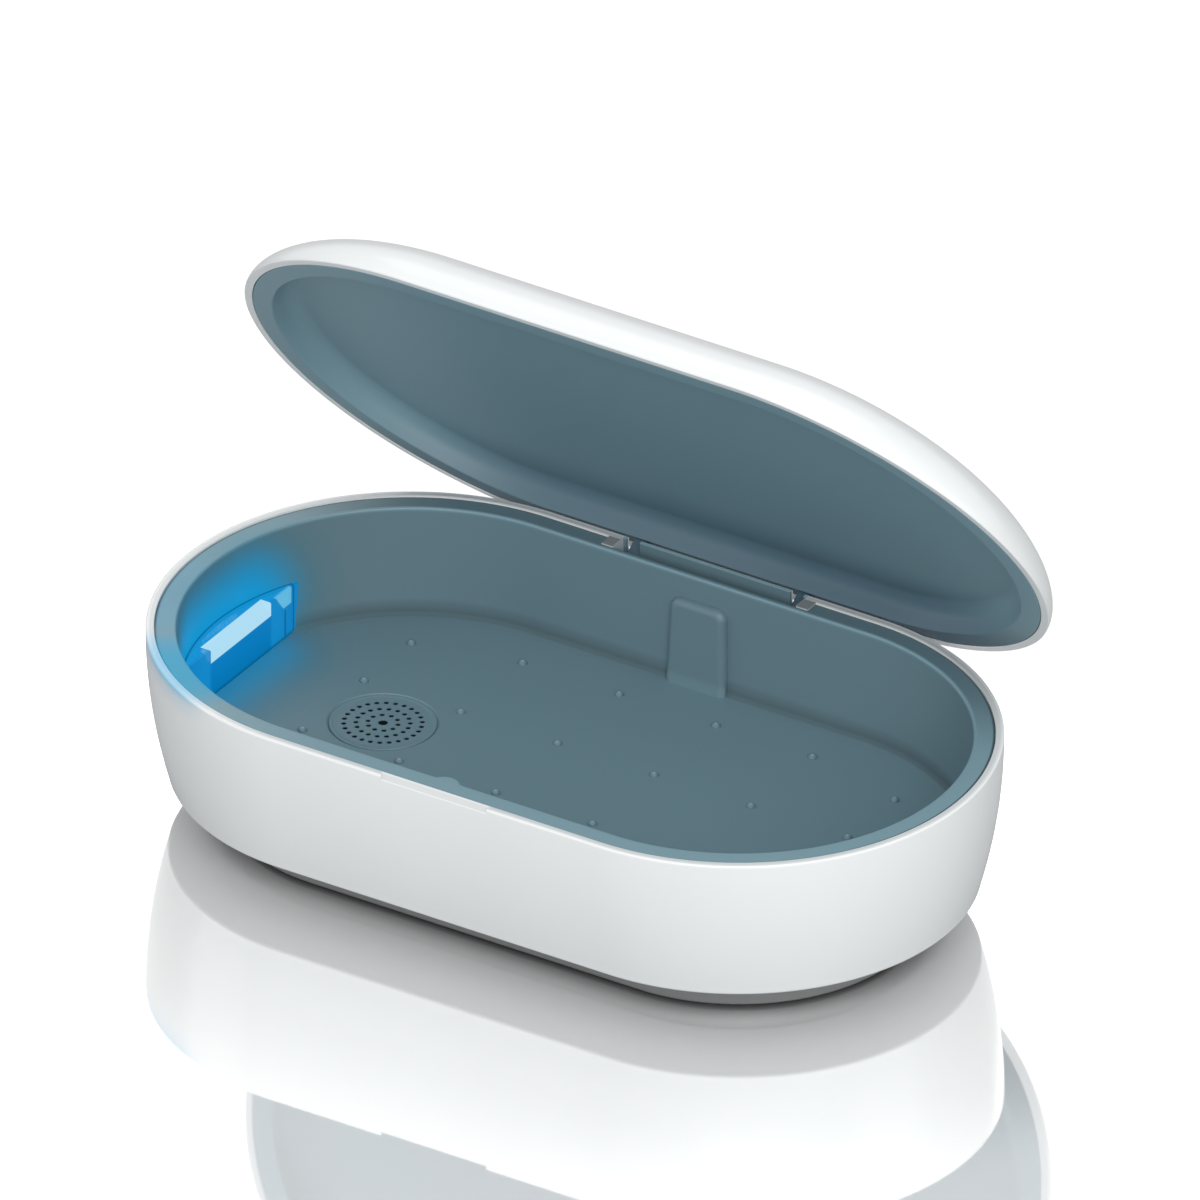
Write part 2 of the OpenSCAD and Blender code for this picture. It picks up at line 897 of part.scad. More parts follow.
// Cap on one end of the tube, on a foot, with its back cut to the tray wall
module lamp_cap(y_low, y_high, foot_low, foot_high) {
    foot_half = 1.2;
    color(white)
        intersection() {
            union() {
                rod_y(tube_x, tube_z, cap_radius, y_low, y_high, fn_mid);
                box(
                    [tube_x - foot_half, foot_low, tray_floor],
                    [tube_x + foot_half, foot_high, tube_z]
                );
            }
            cavity(0.3, tray_floor + window_height);
        }
}

module lamp_cap_front() {
    low = tube_front - cap_length;
    lamp_cap(low, tube_front, low, low + foot_thickness);
}

module lamp_cap_rear() {
    high = tube_rear + cap_length;
    lamp_cap(tube_rear, high, high - foot_thickness, high);
}

// Bright sheet behind the tube, curved like the tray wall
module lamp_reflector() {
    half_angle = 8;
    wall_gap = 0.15;
    low = tray_floor + tray_fillet + 0.4;
    high = tray_floor + window_height - window_wall - 0.3;
    low_radius = tray_foot + draft_slope * (low - tray_floor) - wall_gap;
    high_radius = tray_foot + draft_slope * (high - tray_floor) - wall_gap;
    color(silver)
        translate([-spine_half, 0, 0])
            rotate_extrude(angle = 2 * half_angle, start = 180 - half_angle, $fn = fn_big)
                polygon([
                    [low_radius - reflector_sheet, low],
                    [low_radius, low],
                    [high_radius, high],
                    [high_radius - reflector_sheet, high]
                ]);
}

// Two wires from the front lamp cap, under the tray floor to the board
module lamp_leads() {
    color(dark)
        for (side = [-1, 1]) {
            x = lead_x + side * lead_spread;
            y = lead_y - side * lead_spread;
            union() {
                rod_z(x, y, lead_radius, lead_z - lead_radius, tube_z - cap_radius - 0.2, fn_hole);
                rod_x(y, lead_z, lead_radius, x - lead_radius / 2, lead_landing, fn_hole);
                rod_z(
                    lead_landing + side * lead_spread / 2, y, lead_radius,
                    board_top, lead_z + lead_radius / 2, fn_hole
                );
            }
        }
}

module main_board() {
    color(board_green)
        difference() {
            box(
                [board_left, board_front, board_top - board_plate],
                [board_right, board_rear, board_top]
            );
            for (spot = board_screw_spots)
                rod_z(
                    spot[0], spot[1], small_screw + 2 * screw_play,
                    board_top - board_plate - eps, board_top + eps, fn_hole
                );
            for (spot = cover_screw_spots)
                rod_z(
                    spot[0], spot[1], cover_boss + 0.4,
                    board_top - board_plate - eps, board_top + eps, fn_small
                );
        }
}

// High-voltage transformer of the lamp: a housing with a round winding at its rear
module lamp_driver() {
    low = [-24, -8, board_top];
    high = [-6, 4, board_top + 4.6];
    winding_radius = 2;
    winding_length = 3.4;
    color(dark)
        box(low, high);
    color(copper)
        rod_y(
            (low[0] + high[0]) / 2, board_top + winding_radius + 0.4, winding_radius,
            high[1], high[1] + winding_length, fn_small
        );
}

// Controller, regulator, memory and two capacitors
module board_chips() {
    // Left edge, front edge, width and height of each square chip
    chips = [[8, -10, 10, 1.5], [26, -8, 6, 1.2], [10, 20, 5, 1]];
    capacitor_x = 40;
    capacitor_y = 6;
    capacitor_radius = 3;
    capacitor_height = 4.8;
    color(dark) {
        for (chip = chips)
            box(
                [chip[0], chip[1], board_top],
                [chip[0] + chip[2], chip[1] + chip[2], board_top + chip[3]]
            );
        for (side = [-1, 1])
            rod_z(
                capacitor_x, side * capacitor_y, capacitor_radius,
                board_top, board_top + capacitor_height, fn_small
            );
    }
}

// Charging socket: a round-cornered metal shell with a tongue inside
module charging_socket() {
    sheet = 0.35;
    mouth_y = side_at(board_top) - 0.4;
    mid_z = board_top + socket_height / 2;
    half_gap = (socket_width - socket_height) / 2;
    tongue_half = 3.3;
    tongue_thick = 0.7;
    back_y = mouth_y - socket_length;
    color(steel)
        union() {
            difference() {
                union() {
                    for (side = [-1, 1])
                        rod_y(
                            side * half_gap, mid_z, socket_height / 2, back_y, mouth_y, fn_small
                        );
                    box(
                        [-half_gap, back_y, board_top],
                        [half_gap, mouth_y, board_top + socket_height]
                    );
                }
                for (side = [-1, 1])
                    rod_y(
                        side * half_gap, mid_z, socket_height / 2 - sheet,
                        back_y + 1, mouth_y + eps, fn_small
                    );
                box(
                    [-half_gap, back_y + 1, board_top + sheet],
                    [half_gap, mouth_y + eps, board_top + socket_height - sheet]
                );
            }
            box(
                [-tongue_half, back_y + 0.5, mid_z - tongue_thick / 2],
                [tongue_half, mouth_y - 0.6, mid_z + tongue_thick / 2]
            );
        }
}

// Push switch behind the power button, with a round well for its plunger
module button_switch() {
    half = 3;
    front = board_rear - 4.2;
    well_radius = 1.5;
    color(dark)
        difference() {
            box(
                [button_x - half, front, board_top],
                [button_x + half, board_rear - 1, board_top + 5.2]
            );
            rod_y(button_x, button_z, well_radius, front + 0.8, board_rear, fn_small);
        }
}

module indicator_light() {
    half = 1.2;
    color(white)
        box(
            [light_x - half, board_rear - 3, board_top],
            [light_x + half, board_rear - 1.2, board_top + 5]
        );
}

// Clear rod that carries the light to the rear wall
module light_guide() {
    guide_proud = 0.1;
    color(clear_blue)
        intersection() {
            rod_y(light_x, button_z, light_radius, board_rear - 1, rim_radius, fn_small);
            side_space(-guide_proud);
        }
}

module lid_sensor() {
    flat_depth = 0.9;
    color(dark)
        difference() {
            rod_z(0, sensor_y, sensor_radius, sensor_low, sensor_top, fn_small);
            box(
                [-sensor_radius, sensor_y - sensor_radius, sensor_low - eps],
                [sensor_radius, sensor_y - sensor_radius + flat_depth, sensor_top + eps]
            );
        }
}

// Three wires from the sensor, down between the walls and back to the board
module sensor_leads() {
    wire = 0.3;
    spread = 1;
    wire_z = board_top + 2.6;
    foot_y = -(side_at(wire_z) - shell_wall - 1);
    drop = sensor_low - wire_z;
    lean = atan((foot_y - sensor_y) / drop);
    board_y = board_front + 1.5;
    color(dark)
        for (i = [-1, 0, 1])
            union() {
                translate([i * spread, foot_y, wire_z])
                    rotate([lean, 0, 0])
                        cylinder(r = wire, h = drop / cos(lean) - 0.1, $fn = fn_hole);
                rod_y(i * spread, wire_z, wire, foot_y - wire, board_y, fn_hole);
                rod_z(i * spread, board_y - wire, wire, board_top, wire_z + wire / 2, fn_hole);
            }
}

// One screw with its head down
module screw_up(x, y, z, shank, head, head_rise, length) {
    slot_half_width = head * 0.15;
    slot_half_length = head * 0.6;
    slot_depth = head_rise * 0.5;
    difference() {
        union() {
            rod_z(x, y, head, z, z + head_rise, fn_small);
            rod_z(x, y, shank, z, z + head_rise + length, fn_small);
        }
        for (turn = [0, 90])
            translate([x, y, z])
                rotate([0, 0, turn])
                    box(
                        [-slot_half_length, -slot_half_width, -eps],
                        [slot_half_length, slot_half_width, slot_depth]
                    );
    }
}

module cover_screws() {
    color(steel)
        for (spot = cover_screw_spots)
            screw_up(
                spot[0], spot[1], mat_thickness, screw_radius, head_radius,
                head_height, screw_length
            );
}

module board_screws() {
    color(steel)
        for (spot = board_screw_spots)
            screw_up(
                spot[0], spot[1], board_top - board_plate - small_head_height, small_screw,
                small_head, small_head_height, board_plate + 4.2
            );
}

module hinge_pin() {
    pin_half = trough_half + trough_end - eps - 0.2;
    color(steel)
        rod_x(hinge_y, hinge_z, pin_radius, -pin_half, pin_half, fn_mid);
}

// Spring washers that give the hinge its friction
module hinge_washers() {
    washer_inner = arm_inner + arm_width + 0.3;
    washer_outer = trough_half - 0.1;
    color(steel)
        for (side = [-1, 1])
            difference() {
                rod_x(
                    hinge_y, hinge_z, eye_radius - 0.2,
                    side < 0 ? -washer_outer : washer_inner,
                    side < 0 ? -washer_inner : washer_outer, fn_mid
                );
                rod_x(
                    hinge_y, hinge_z, pin_radius + pin_play,
                    -trough_half - eps, trough_half + eps, fn_mid
                );
            }
}

// Outline of the white lid
module lid_profile() {
    edge = 0.3;
    inner_reach = crown_reach - 1;
    skirt_z = lid_plane + lid_skirt;
    outer = concat(
        [
            [strip_inner, lid_plane],
            [rim_radius - edge, lid_plane],
            [rim_radius, lid_plane + edge]
        ],
        crown_points(0, crown_reach, skirt_z, lid_height - lid_skirt)
    );
    inner = reversed(crown_points(
        shell_wall, inner_reach, skirt_z, lid_height - lid_skirt - shell_wall
    ));
    polygon(concat(outer, [[0, lid_top], [0, lid_top - shell_wall]], inner));
}

// Cylinder with tapered ends that keeps the lid clear of the rear rim as it turns
module rolling_relief() {
    rod_x(hinge_y, hinge_z, relief_radius, -spine_half, spine_half, fn_big);
    for (side = [-1, 1])
        translate([side * spine_half, hinge_y, hinge_z])
            rotate([0, side * 90, 0])
                cylinder(
                    r1 = relief_radius, r2 = relief_end_radius,
                    h = relief_half - spine_half, $fn = fn_big
                );
}

module lid_shell() {
    color(white)
        opened()
            difference() {
                union() {
                    around()
                        lid_profile();
                    // Bosses for the hinge bracket screws
                    intersection() {
                        for (x = bracket_screw_x)
                            rod_z(x, bracket_screw_y, bracket_boss, bar_top, lid_top, fn_small);
                        around()
                            polygon(concat(
                                [[0, lid_plane]],
                                crown_points(
                                    shell_wall / 2, crown_reach, lid_plane + lid_skirt,
                                    lid_height - lid_skirt - shell_wall / 2
                                ),
                                [[0, lid_top - shell_wall / 2]]
                            ));
                    }
                }
                for (x = bracket_screw_x)
                    rod_z(
                        x, bracket_screw_y, bracket_shank + screw_play,
                        bar_top - eps, bar_top + 3.6, fn_hole
                    );
                rolling_relief();
            }
}

// Outline of the lid liner: flat border and shallow hollow with soft corners
module liner_profile() {
    wall_run = 0.6;
    hollow_z = lid_plane + liner_depth;
    corner = liner_inner - wall_run - liner_fillet;
    under = concat(
        [[liner_outer, lid_plane], [liner_inner, lid_plane]],
        arc_points(corner, hollow_z - liner_fillet, liner_fillet, 8, 90, 8)
    );
    over = reversed(arc_points(
        corner, hollow_z - liner_fillet, liner_fillet + liner_plate, 14, 90, 8
    ));
    polygon(concat(
        under,
        [[0, hollow_z], [0, hollow_z + liner_plate]],
        over,
        [
            [liner_inner + liner_plate, lid_plane + liner_plate],
            [liner_outer, lid_plane + liner_plate]
        ]
    ));
}

module lid_liner() {
    arm_rear = hinge_y + arm_thickness / 2;
    color(blue_grey)
        opened()
            difference() {
                around()
                    liner_profile();
                rolling_relief();
                for (side = [-1, 1])
                    box(
                        [
                            side < 0 ? -bar_half - tray_gap : arm_inner - tray_gap,
                            hinge_y - arm_thickness / 2 - tray_gap,
                            lid_plane - eps
                        ],
                        [
                            side < 0 ? -arm_inner + tray_gap : bar_half + tray_gap,
                            arm_rear + tray_gap,
                            lid_plane + liner_plate + eps
                        ]
                    );
            }
}

// Bar inside the lid with two arms that reach down to the pin
module hinge_bracket() {
    color(blue_grey)
        opened()
            difference() {
                union() {
                    box([-bar_half, bar_front, bar_bottom], [bar_half, bar_rear, bar_top]);
                    for (side = [-1, 1]) {
                        x_low = side < 0 ? -bar_half : arm_inner;
                        x_high = side < 0 ? -arm_inner : bar_half;
                        box(
                            [x_low, hinge_y - arm_thickness / 2, hinge_z],
                            [x_high, hinge_y + arm_thickness / 2, bar_bottom + eps]
                        );
                        rod_x(hinge_y, hinge_z, eye_radius, x_low, x_high, fn_mid);
                    }
                }
                rod_x(
                    hinge_y, hinge_z, pin_radius + pin_play,
                    -bar_half - eps, bar_half + eps, fn_mid
                );
                for (x = bracket_screw_x) {
                    rod_z(
                        x, bracket_screw_y, bracket_shank + 2 * screw_play,
                        bar_bottom - eps, bar_top + eps, fn_hole
                    );
                    rod_z(
                        x, bracket_screw_y, bracket_head + screw_play,
                        bar_bottom - eps, bar_bottom + bracket_head_height, fn_small
                    );
                }
            }
}

module bracket_screws() {
    color(steel)
        opened()
            for (x = bracket_screw_x)
                screw_up(
                    x, bracket_screw_y, bar_bottom, bracket_shank, bracket_head,
                    bracket_head_height, 4
                );
}

// Magnet behind the liner border at the front, above the sensor
module lid_magnet() {
    magnet_radius = 1.6;
    magnet_height = 1.8;
    magnet_y = -(liner_inner + liner_plate + magnet_radius + tray_gap);
    low = lid_plane + liner_plate;
    color(steel)
        opened()
            rod_z(0, magnet_y, magnet_radius, low, low + magnet_height, fn_small);
}

// Space inside a surface that follows the side of the base, drawn in by an inset
module side_space(inset) {
    around()
        polygon(concat(
            [[0, foot_height]],
            reversed(side_points(inset, rim_height, foot_height)),
            [[0, rim_height]]
        ));
}

// Power button cap, shaped to the side of the base, with ears that keep it in
module power_button() {
    stem_radius = 1.6;
    ear_reach = button_radius + 1.5;
    ear_half = 1.2;
    ear_gap = 0.15;
    ear_back = button_back - 0.4;
    color(soft_grey)
        union() {
            intersection() {
                rod_y(button_x, button_z, button_radius, button_back, rim_radius, fn_mid);
                side_space(-button_proud);
            }
            intersection() {
                box(
                    [button_x - ear_reach, ear_back, button_z - ear_half],
                    [button_x + ear_reach, rim_radius, button_z + ear_half]
                );
                side_space(shell_wall + ear_gap);
            }
            rod_y(button_x, button_z, stem_radius, stem_front, button_back + eps, fn_small);
        }
}

// Plunger of the push switch, which travels with the button
module switch_plunger() {
    plunger_radius = 1.1;
    plunger_length = 2.3;
    color(white)
        rod_y(
            button_x, button_z, plunger_radius,
            stem_front - plunger_length, stem_front, fn_small
        );
}

base_shell();
bottom_cover();
anti_slip_mat();
tray();
aroma_disc();
scent_pad();
lamp_window();
uv_tube();
lamp_cap_front();
lamp_cap_rear();
lamp_reflector();
lamp_leads();
main_board();
lamp_driver();
board_chips();
charging_socket();
button_switch();
indicator_light();
light_guide();
lid_sensor();
sensor_leads();
cover_screws();
board_screws();
hinge_pin();
hinge_washers();
lid_shell();
lid_liner();
hinge_bracket();
bracket_screws();
lid_magnet();
power_button();
switch_plunger();
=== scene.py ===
# %% [markdown]
# # A sanitizer box for phones
# This lesson dresses a small household machine. It is an oblong white box with a
# blue-grey tray for a phone, an ultraviolet lamp behind a clear cover at its left
# end, a scent disc in the tray floor and a domed lid on a hinge at the back.
# The solids come from a CAD frame. They fix every size and place, so Blender's
# work is the smooth shapes, the soft edges and the finishes.

import json
import math

import bmesh
import bpy
from mathutils import Matrix, Vector

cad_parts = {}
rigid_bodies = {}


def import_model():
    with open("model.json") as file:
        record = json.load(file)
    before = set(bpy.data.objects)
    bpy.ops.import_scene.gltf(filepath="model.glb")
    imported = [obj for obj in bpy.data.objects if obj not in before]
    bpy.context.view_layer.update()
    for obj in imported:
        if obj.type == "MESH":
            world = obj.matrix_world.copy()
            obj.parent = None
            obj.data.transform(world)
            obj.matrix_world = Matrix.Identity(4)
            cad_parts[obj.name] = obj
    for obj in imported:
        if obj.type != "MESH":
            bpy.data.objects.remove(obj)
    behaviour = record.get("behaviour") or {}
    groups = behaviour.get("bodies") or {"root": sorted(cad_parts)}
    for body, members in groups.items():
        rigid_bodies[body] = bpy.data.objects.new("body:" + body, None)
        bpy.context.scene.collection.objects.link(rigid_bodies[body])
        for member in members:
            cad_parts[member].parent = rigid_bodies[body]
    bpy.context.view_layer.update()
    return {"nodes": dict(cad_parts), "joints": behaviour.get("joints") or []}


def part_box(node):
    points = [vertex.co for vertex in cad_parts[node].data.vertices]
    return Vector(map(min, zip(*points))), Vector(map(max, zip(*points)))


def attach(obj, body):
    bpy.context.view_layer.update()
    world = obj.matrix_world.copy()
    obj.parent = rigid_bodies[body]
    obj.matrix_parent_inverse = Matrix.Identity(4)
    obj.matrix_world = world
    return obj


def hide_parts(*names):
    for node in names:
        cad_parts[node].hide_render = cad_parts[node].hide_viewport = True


for thing in list(bpy.data.objects):
    bpy.data.objects.remove(thing)
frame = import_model()
MM = 0.001


# %% [markdown]
# ## Sizes
# The script counts in millimetres. What the frame can tell is read from it: how
# long, wide and high each node is, and where the hinge sits. The rest are the
# few driving sizes of the mouldings, such as wall thickness and roundings. Most
# are distances from the spine, the straight line between the centres of the two
# half-round ends.

# %% Sizes of the body
def box_mm(node):
    """Lowest and highest corner of a CAD node, in millimetres."""
    low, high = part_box(node)
    return low / MM, high / MM


shell_high = box_mm("base_shell")[1]
rim_z = shell_high.z
rim_radius = shell_high.y
spine_half = shell_high.x - rim_radius
shell_wall = 2.1
strip_inner = rim_radius - shell_wall
side_radius = 139
foot_z = 12.3
foot_round = 1.2
rim_round = 0.5
underside_rise = 0.4
plinth_radius = box_mm("bottom_cover")[1].y
notch_half = 15.3

tray_high = box_mm("tray")[1]
disc_low, disc_high = box_mm("aroma_disc")
tray_top = tray_high.z
tray_floor = disc_high.z
tray_outer = tray_high.x - spine_half
tray_flange = 5.1
tray_inner = tray_outer - tray_flange
tray_lean = 1.4
tray_foot = tray_inner - tray_lean
tray_plate = 1.5
tray_wall = 1.3
tray_fillet = 1.2
draft_slope = (tray_inner - tray_foot) / (tray_top - tray_floor)
disc_x = (disc_low.x + disc_high.x) / 2
disc_radius = (disc_high.x - disc_low.x) / 2
disc_plate = disc_high.z - 0.2
print(f"rim {rim_radius:.1f} mm around a spine of {2 * spine_half:.1f} mm")

# %% Sizes of the lid, the hinge and the lamp
hinge = next(joint for joint in frame["joints"] if joint["name"] == "lid_hinge")
hinge_y = hinge["pos_m"][1] / MM
hinge_z = hinge["pos_m"][2] / MM
open_angle = math.radians(hinge["range_deg"][1])
trough_half = 26
trough_end = 3.2
trough_floor = 40
trough_back = rim_radius - 1.2
trough_front = hinge_y - 2
arm_inner = 21.5
arm_outer = 24.9
arm_half_depth = 1.2
arm_room = 0.2
lid_plane = rim_z + 0.4
lid_height = 19
lid_top = lid_plane + lid_height
lid_skirt = 1
crown_reach = 34
crown_power = 1.72
liner_outer = tray_outer
liner_border = 5.3
liner_inner = liner_outer - liner_border
liner_depth = 6.5
liner_plate = 1.3
relief_radius = 8.5
relief_end = 7.55
relief_half = 67

window_high = box_mm("lamp_window")[1]
window_face = -window_high.x
window_round = 3.6
window_wall = 1
lamp_y = 0.7
lamp_half = 13.2
print(f"lid opens {math.degrees(open_angle):.1f} degrees about y {hinge_y:.1f}, z {hinge_z:.1f}")


# %% [markdown]
# ## Camera
# The photograph has no perspective, so the camera is orthographic. It stands to
# the right of the front and looks down at about thirty degrees. Two offsets put
# the object where it lies in the square frame. A camera that tracks an aim point
# would also do, but three axes written out leave nothing to guess.

# %% Camera
view_azimuth = math.radians(32.553)
view_elevation = math.radians(30.54)
view_width = 286.74
view_right_offset = 6.0
view_up_offset = 61.9
view_distance = 900


def direction(azimuth, elevation):
    """Points from the box to a place around and above it. An azimuth of 0 is the front."""
    level = math.cos(elevation)
    return Vector((math.sin(azimuth) * level, -math.cos(azimuth) * level, math.sin(elevation)))


right = Vector((math.cos(view_azimuth), math.sin(view_azimuth), 0))
toward = direction(view_azimuth, view_elevation)
up = toward.cross(right)
camera_data = bpy.data.cameras.new("camera")
camera_data.type = "ORTHO"
camera_data.ortho_scale = view_width * MM
camera_data.clip_end = 10
camera = bpy.data.objects.new("camera", camera_data)
scene = bpy.context.scene
scene.collection.objects.link(camera)
spot = right * view_right_offset + up * view_up_offset + toward * view_distance
turn = Matrix((right, up, toward)).transposed().to_4x4()
camera.matrix_world = Matrix.Translation(spot * MM) @ turn
scene.camera = camera
print("camera looks along", [round(value, 3) for value in -toward])


# %% [markdown]
# ## A way to write node trees
# The sky, the finishes and the shapes that follow a rule are all node trees. Made
# by hand in the editor they are hard to read and to change. Here a `Term` wraps a
# node's output, so that a tree can be written as plain arithmetic, and a `Graph`
# adds every other kind of node with one method.

# %% Terms and graphs
class Term:
    """The output of a node. Arithmetic on it adds Math nodes."""

    def __init__(self, graph, output):
        self.graph = graph
        self.output = output

    def math(self, operation, *terms):
        return self.graph.node("ShaderNodeMath", {"operation": operation}, dict(enumerate(terms)))

    def __add__(self, other):
        return self.math("ADD", self, other)

    def __radd__(self, other):
        return self.math("ADD", other, self)

    def __sub__(self, other):
        return self.math("SUBTRACT", self, other)

    def __rsub__(self, other):
        return self.math("SUBTRACT", other, self)

    def __mul__(self, other):
        return self.math("MULTIPLY", self, other)

    def __rmul__(self, other):
        return self.math("MULTIPLY", other, self)

    def __truediv__(self, other):
        return self.math("DIVIDE", self, other)

    def __rtruediv__(self, other):
        return self.math("DIVIDE", other, self)

    def __abs__(self):
        return self.math("ABSOLUTE", self)

    def __gt__(self, other):
        return self.math("GREATER_THAN", self, other)

    def at_least(self, other):
        """The larger of the two."""
        return self.math("MAXIMUM", self, other)

    def root(self):
        return self.math("SQRT", self)

    def step(self, low, high):
        """Rises smoothly from 0 at low to 1 at high."""
        sockets = {"Value": self, "From Min": low, "From Max": high}
        return self.graph.node("ShaderNodeMapRange", {"interpolation_type": "SMOOTHSTEP"}, sockets)

    def between(self, low, high, soft):
        """1 from low to high, and 0 outside."""
        return self.step(low - soft, low + soft) * (1 - self.step(high - soft, high + soft))

    def pick(self, name):
        """Another output of the same node."""
        return Term(self.graph, self.output.node.outputs[name])


class Graph:
    """A node tree that the script fills, node by node."""

    def __init__(self, tree):
        self.tree = tree
        tree.nodes.clear()

    def node(self, kind, settings=None, sockets=None):
        """Adds a node, sets its settings, then its sockets' values or links. Gives its first output."""
        node = self.tree.nodes.new(kind)
        for name, value in (settings or {}).items():
            setattr(node, name, value)
        for name, value in (sockets or {}).items():
            for source in value if isinstance(value, list) else [value]:
                if isinstance(source, Term):
                    self.tree.links.new(source.output, node.inputs[name])
                else:
                    node.inputs[name].default_value = source
        return Term(self, node.outputs[0]) if len(node.outputs) else None


def rgb(red, green, blue):
    return (red, green, blue, 1.0)


def times(share, colour):
    """A colour made lighter or darker."""
    return rgb(*(share * value for value in colour))


print("node trees are written as sums of terms")


# %% [markdown]
# ## Light
# The photograph was lit like a catalogue picture: white all around, one large soft
# light at the right front, which makes the side brighter towards the right, weaker
# ones overhead and at both ends, and one behind the box, which the open lid keeps off
# the tray. Area lights give these soft shadows. A sky picture could do it too, but
# lights of named sizes are easier to move. The world is dim for the surfaces and
# white for the camera, so that the background stays white and gloss shows a white room.

# %% World and lamps
scene.view_settings.view_transform = "Standard"
world = bpy.data.worlds.new("studio")
world.use_nodes = True
scene.world = world
room_level = 0.5
sky = Graph(world.node_tree)
camera_ray = sky.node("ShaderNodeLightPath")
shown = camera_ray.at_least(camera_ray.pick("Is Glossy Ray"))
shown = shown.at_least(camera_ray.pick("Is Transmission Ray"))
level = room_level + (1 - room_level) * shown
white_sky = sky.node("ShaderNodeBackground", {}, {"Color": rgb(1, 1, 1), "Strength": level})
sky.node("ShaderNodeOutputWorld", {}, {"Surface": white_sky})


def soft_light(name, azimuth, elevation, distance, size, power):
    """A square light that faces the middle of the object."""
    data = bpy.data.lights.new(name, "AREA")
    data.size = size
    data.energy = power
    light = bpy.data.objects.new(name, data)
    scene.collection.objects.link(light)
    away = direction(math.radians(azimuth), math.radians(elevation))
    facing = away.to_track_quat("Z", "Y").to_matrix().to_4x4()
    light.matrix_world = Matrix.Translation(away * distance) @ facing
    print(f"{name}: {power} W at {distance} m")


soft_light("front_light", 38, 34, 1.5, 1.0, 13.5)
soft_light("top_light", 10, 74, 1.6, 1.2, 2.5)
soft_light("back_light", 200, 50, 1.6, 1.2, 5.5)
soft_light("left_fill", -60, 22, 1.5, 0.8, 2.4)
soft_light("right_fill", 98, 22, 1.5, 0.8, 2.2)


# %% [markdown]
# ## A way to write finishes
# A finish is a small sum: a colour, a little more or less of it where a pattern
# says so, a roughness and a fine bump. Patterns and shades are written on places of
# the box, in millimetres, so that they fit its edges and never slide over a piece.

# %% Finishes
class Finish(Graph):
    """One material. Its places count in millimetres."""

    def __init__(self, name):
        self.material = bpy.data.materials.new(name)
        self.material.use_nodes = True
        super().__init__(self.material.node_tree)
        sockets = {"Vector": self.node("ShaderNodeTexCoord").pick("Object"), "Scale": 1 / MM}
        self.place = self.node("ShaderNodeVectorMath", {"operation": "SCALE"}, sockets)
        self.x = self.node("ShaderNodeSeparateXYZ", {}, {0: self.place})
        self.y = self.x.pick("Y")
        self.z = self.x.pick("Z")

    def mix(self, factor, first, second):
        """Blends two colours."""
        mixed = self.node("ShaderNodeMix", {"data_type": "RGBA"}, {0: factor, 6: first, 7: second})
        return mixed.pick(2)

    def darker(self, colour, amount):
        return self.mix(amount, colour, rgb(0.0, 0.0, 0.0))

    def noise(self, size_mm, detail=2.0, stretch=None):
        """Soft random pattern from 0 to 1 with spots of about this size."""
        place = self.place
        if stretch:
            place = self.node("ShaderNodeMapping", {}, {"Vector": place, "Scale": stretch})
        sockets = {"Vector": place, "Scale": 1 / size_mm, "Detail": detail}
        return self.node("ShaderNodeTexNoise", {}, sockets)

    def bump(self, height, depth_mm):
        sockets = {"Height": height, "Distance": depth_mm * MM, "Strength": 1.0}
        return self.node("ShaderNodeBump", {}, sockets)

    def end(self, shader):
        self.node("ShaderNodeOutputMaterial", {}, {"Surface": shader})
        return self.material

    def surface(self, sockets):
        """Ends the finish in a Principled shader."""
        return self.end(self.node("ShaderNodeBsdfPrincipled", {}, sockets))


def from_spine(finish):
    """Distance from the spine of the oblong, which is the same all along one wall."""
    beyond_end = (abs(finish.x) - spine_half).at_least(0.0)
    return (beyond_end * beyond_end + finish.y * finish.y).root()


print("finishes count in millimetres, from the spine and from the table")


# %% [markdown]
# ## The lamp's light
# The lamp is lit in the photograph, and its blue light spills on the tray around
# it. The spill is a soft cloud around the tube, longer along the tube than across.
# Two weaker clouds lie on the rims: one at the front of the lamp's end, and a faint
# one at the far left. A real light behind the cover would be noisy and slow, so
# the clouds are written as places on the box. They stay there from every side.

# %% Spill of the lamp
lamp_x = -(window_face + 2.8)
lamp_z = tray_floor + 10
core_y = lamp_y - 2
core_half = lamp_half - 2
spill_full = 4
spill_gone = 22
downward_loss = 1.3
spill_blue = rgb(0.0, 0.27, 0.58)
front_rim_spill = (-84, -49, 18)
end_rim_spill = (-103, -18, 22)


def lamp_cloud(finish, gone):
    """1 at the tube, falling to 0 at a distance from it. It reaches less far down than up."""
    along = (abs(finish.y - core_y) - core_half).at_least(0.0)
    across = finish.x - lamp_x
    up = finish.z - lamp_z
    up = up.at_least(-downward_loss * up)
    distance = (along * along + across * across + up * up).root()
    return 1 - distance.step(spill_full, gone)


def rim_cloud(finish, x, y, size):
    """A round cloud on the rims, strongest at x and y."""
    across = (finish.x - x) / size
    along = (finish.y - y) / size
    squares = across * across + along * along
    return (1 - squares.step(0.0, 1.5)) * finish.z.step(rim_z - 8, rim_z)


print("the lamp is centred at", [round(value, 1) for value in (lamp_x, lamp_y, lamp_z)])


# %% [markdown]
# ## Plastics
# White satin plastic comes from a polished mould: smooth, with a very fine waviness
# that softens reflections. The blue-grey and grey parts come from moulds with a
# spark-eroded skin, which leaves a fine matte grain that you can feel with a nail.
# A scanned picture could carry the grain, but a noise of the right size fits every
# piece without a seam. One function makes all these plastics, and a painter adds
# what belongs to one piece alone: mostly painted shade, painted highlights and the
# lamp's painted glow.

# %% Moulded plastics
blue_grey = (0.2, 0.325, 0.378)


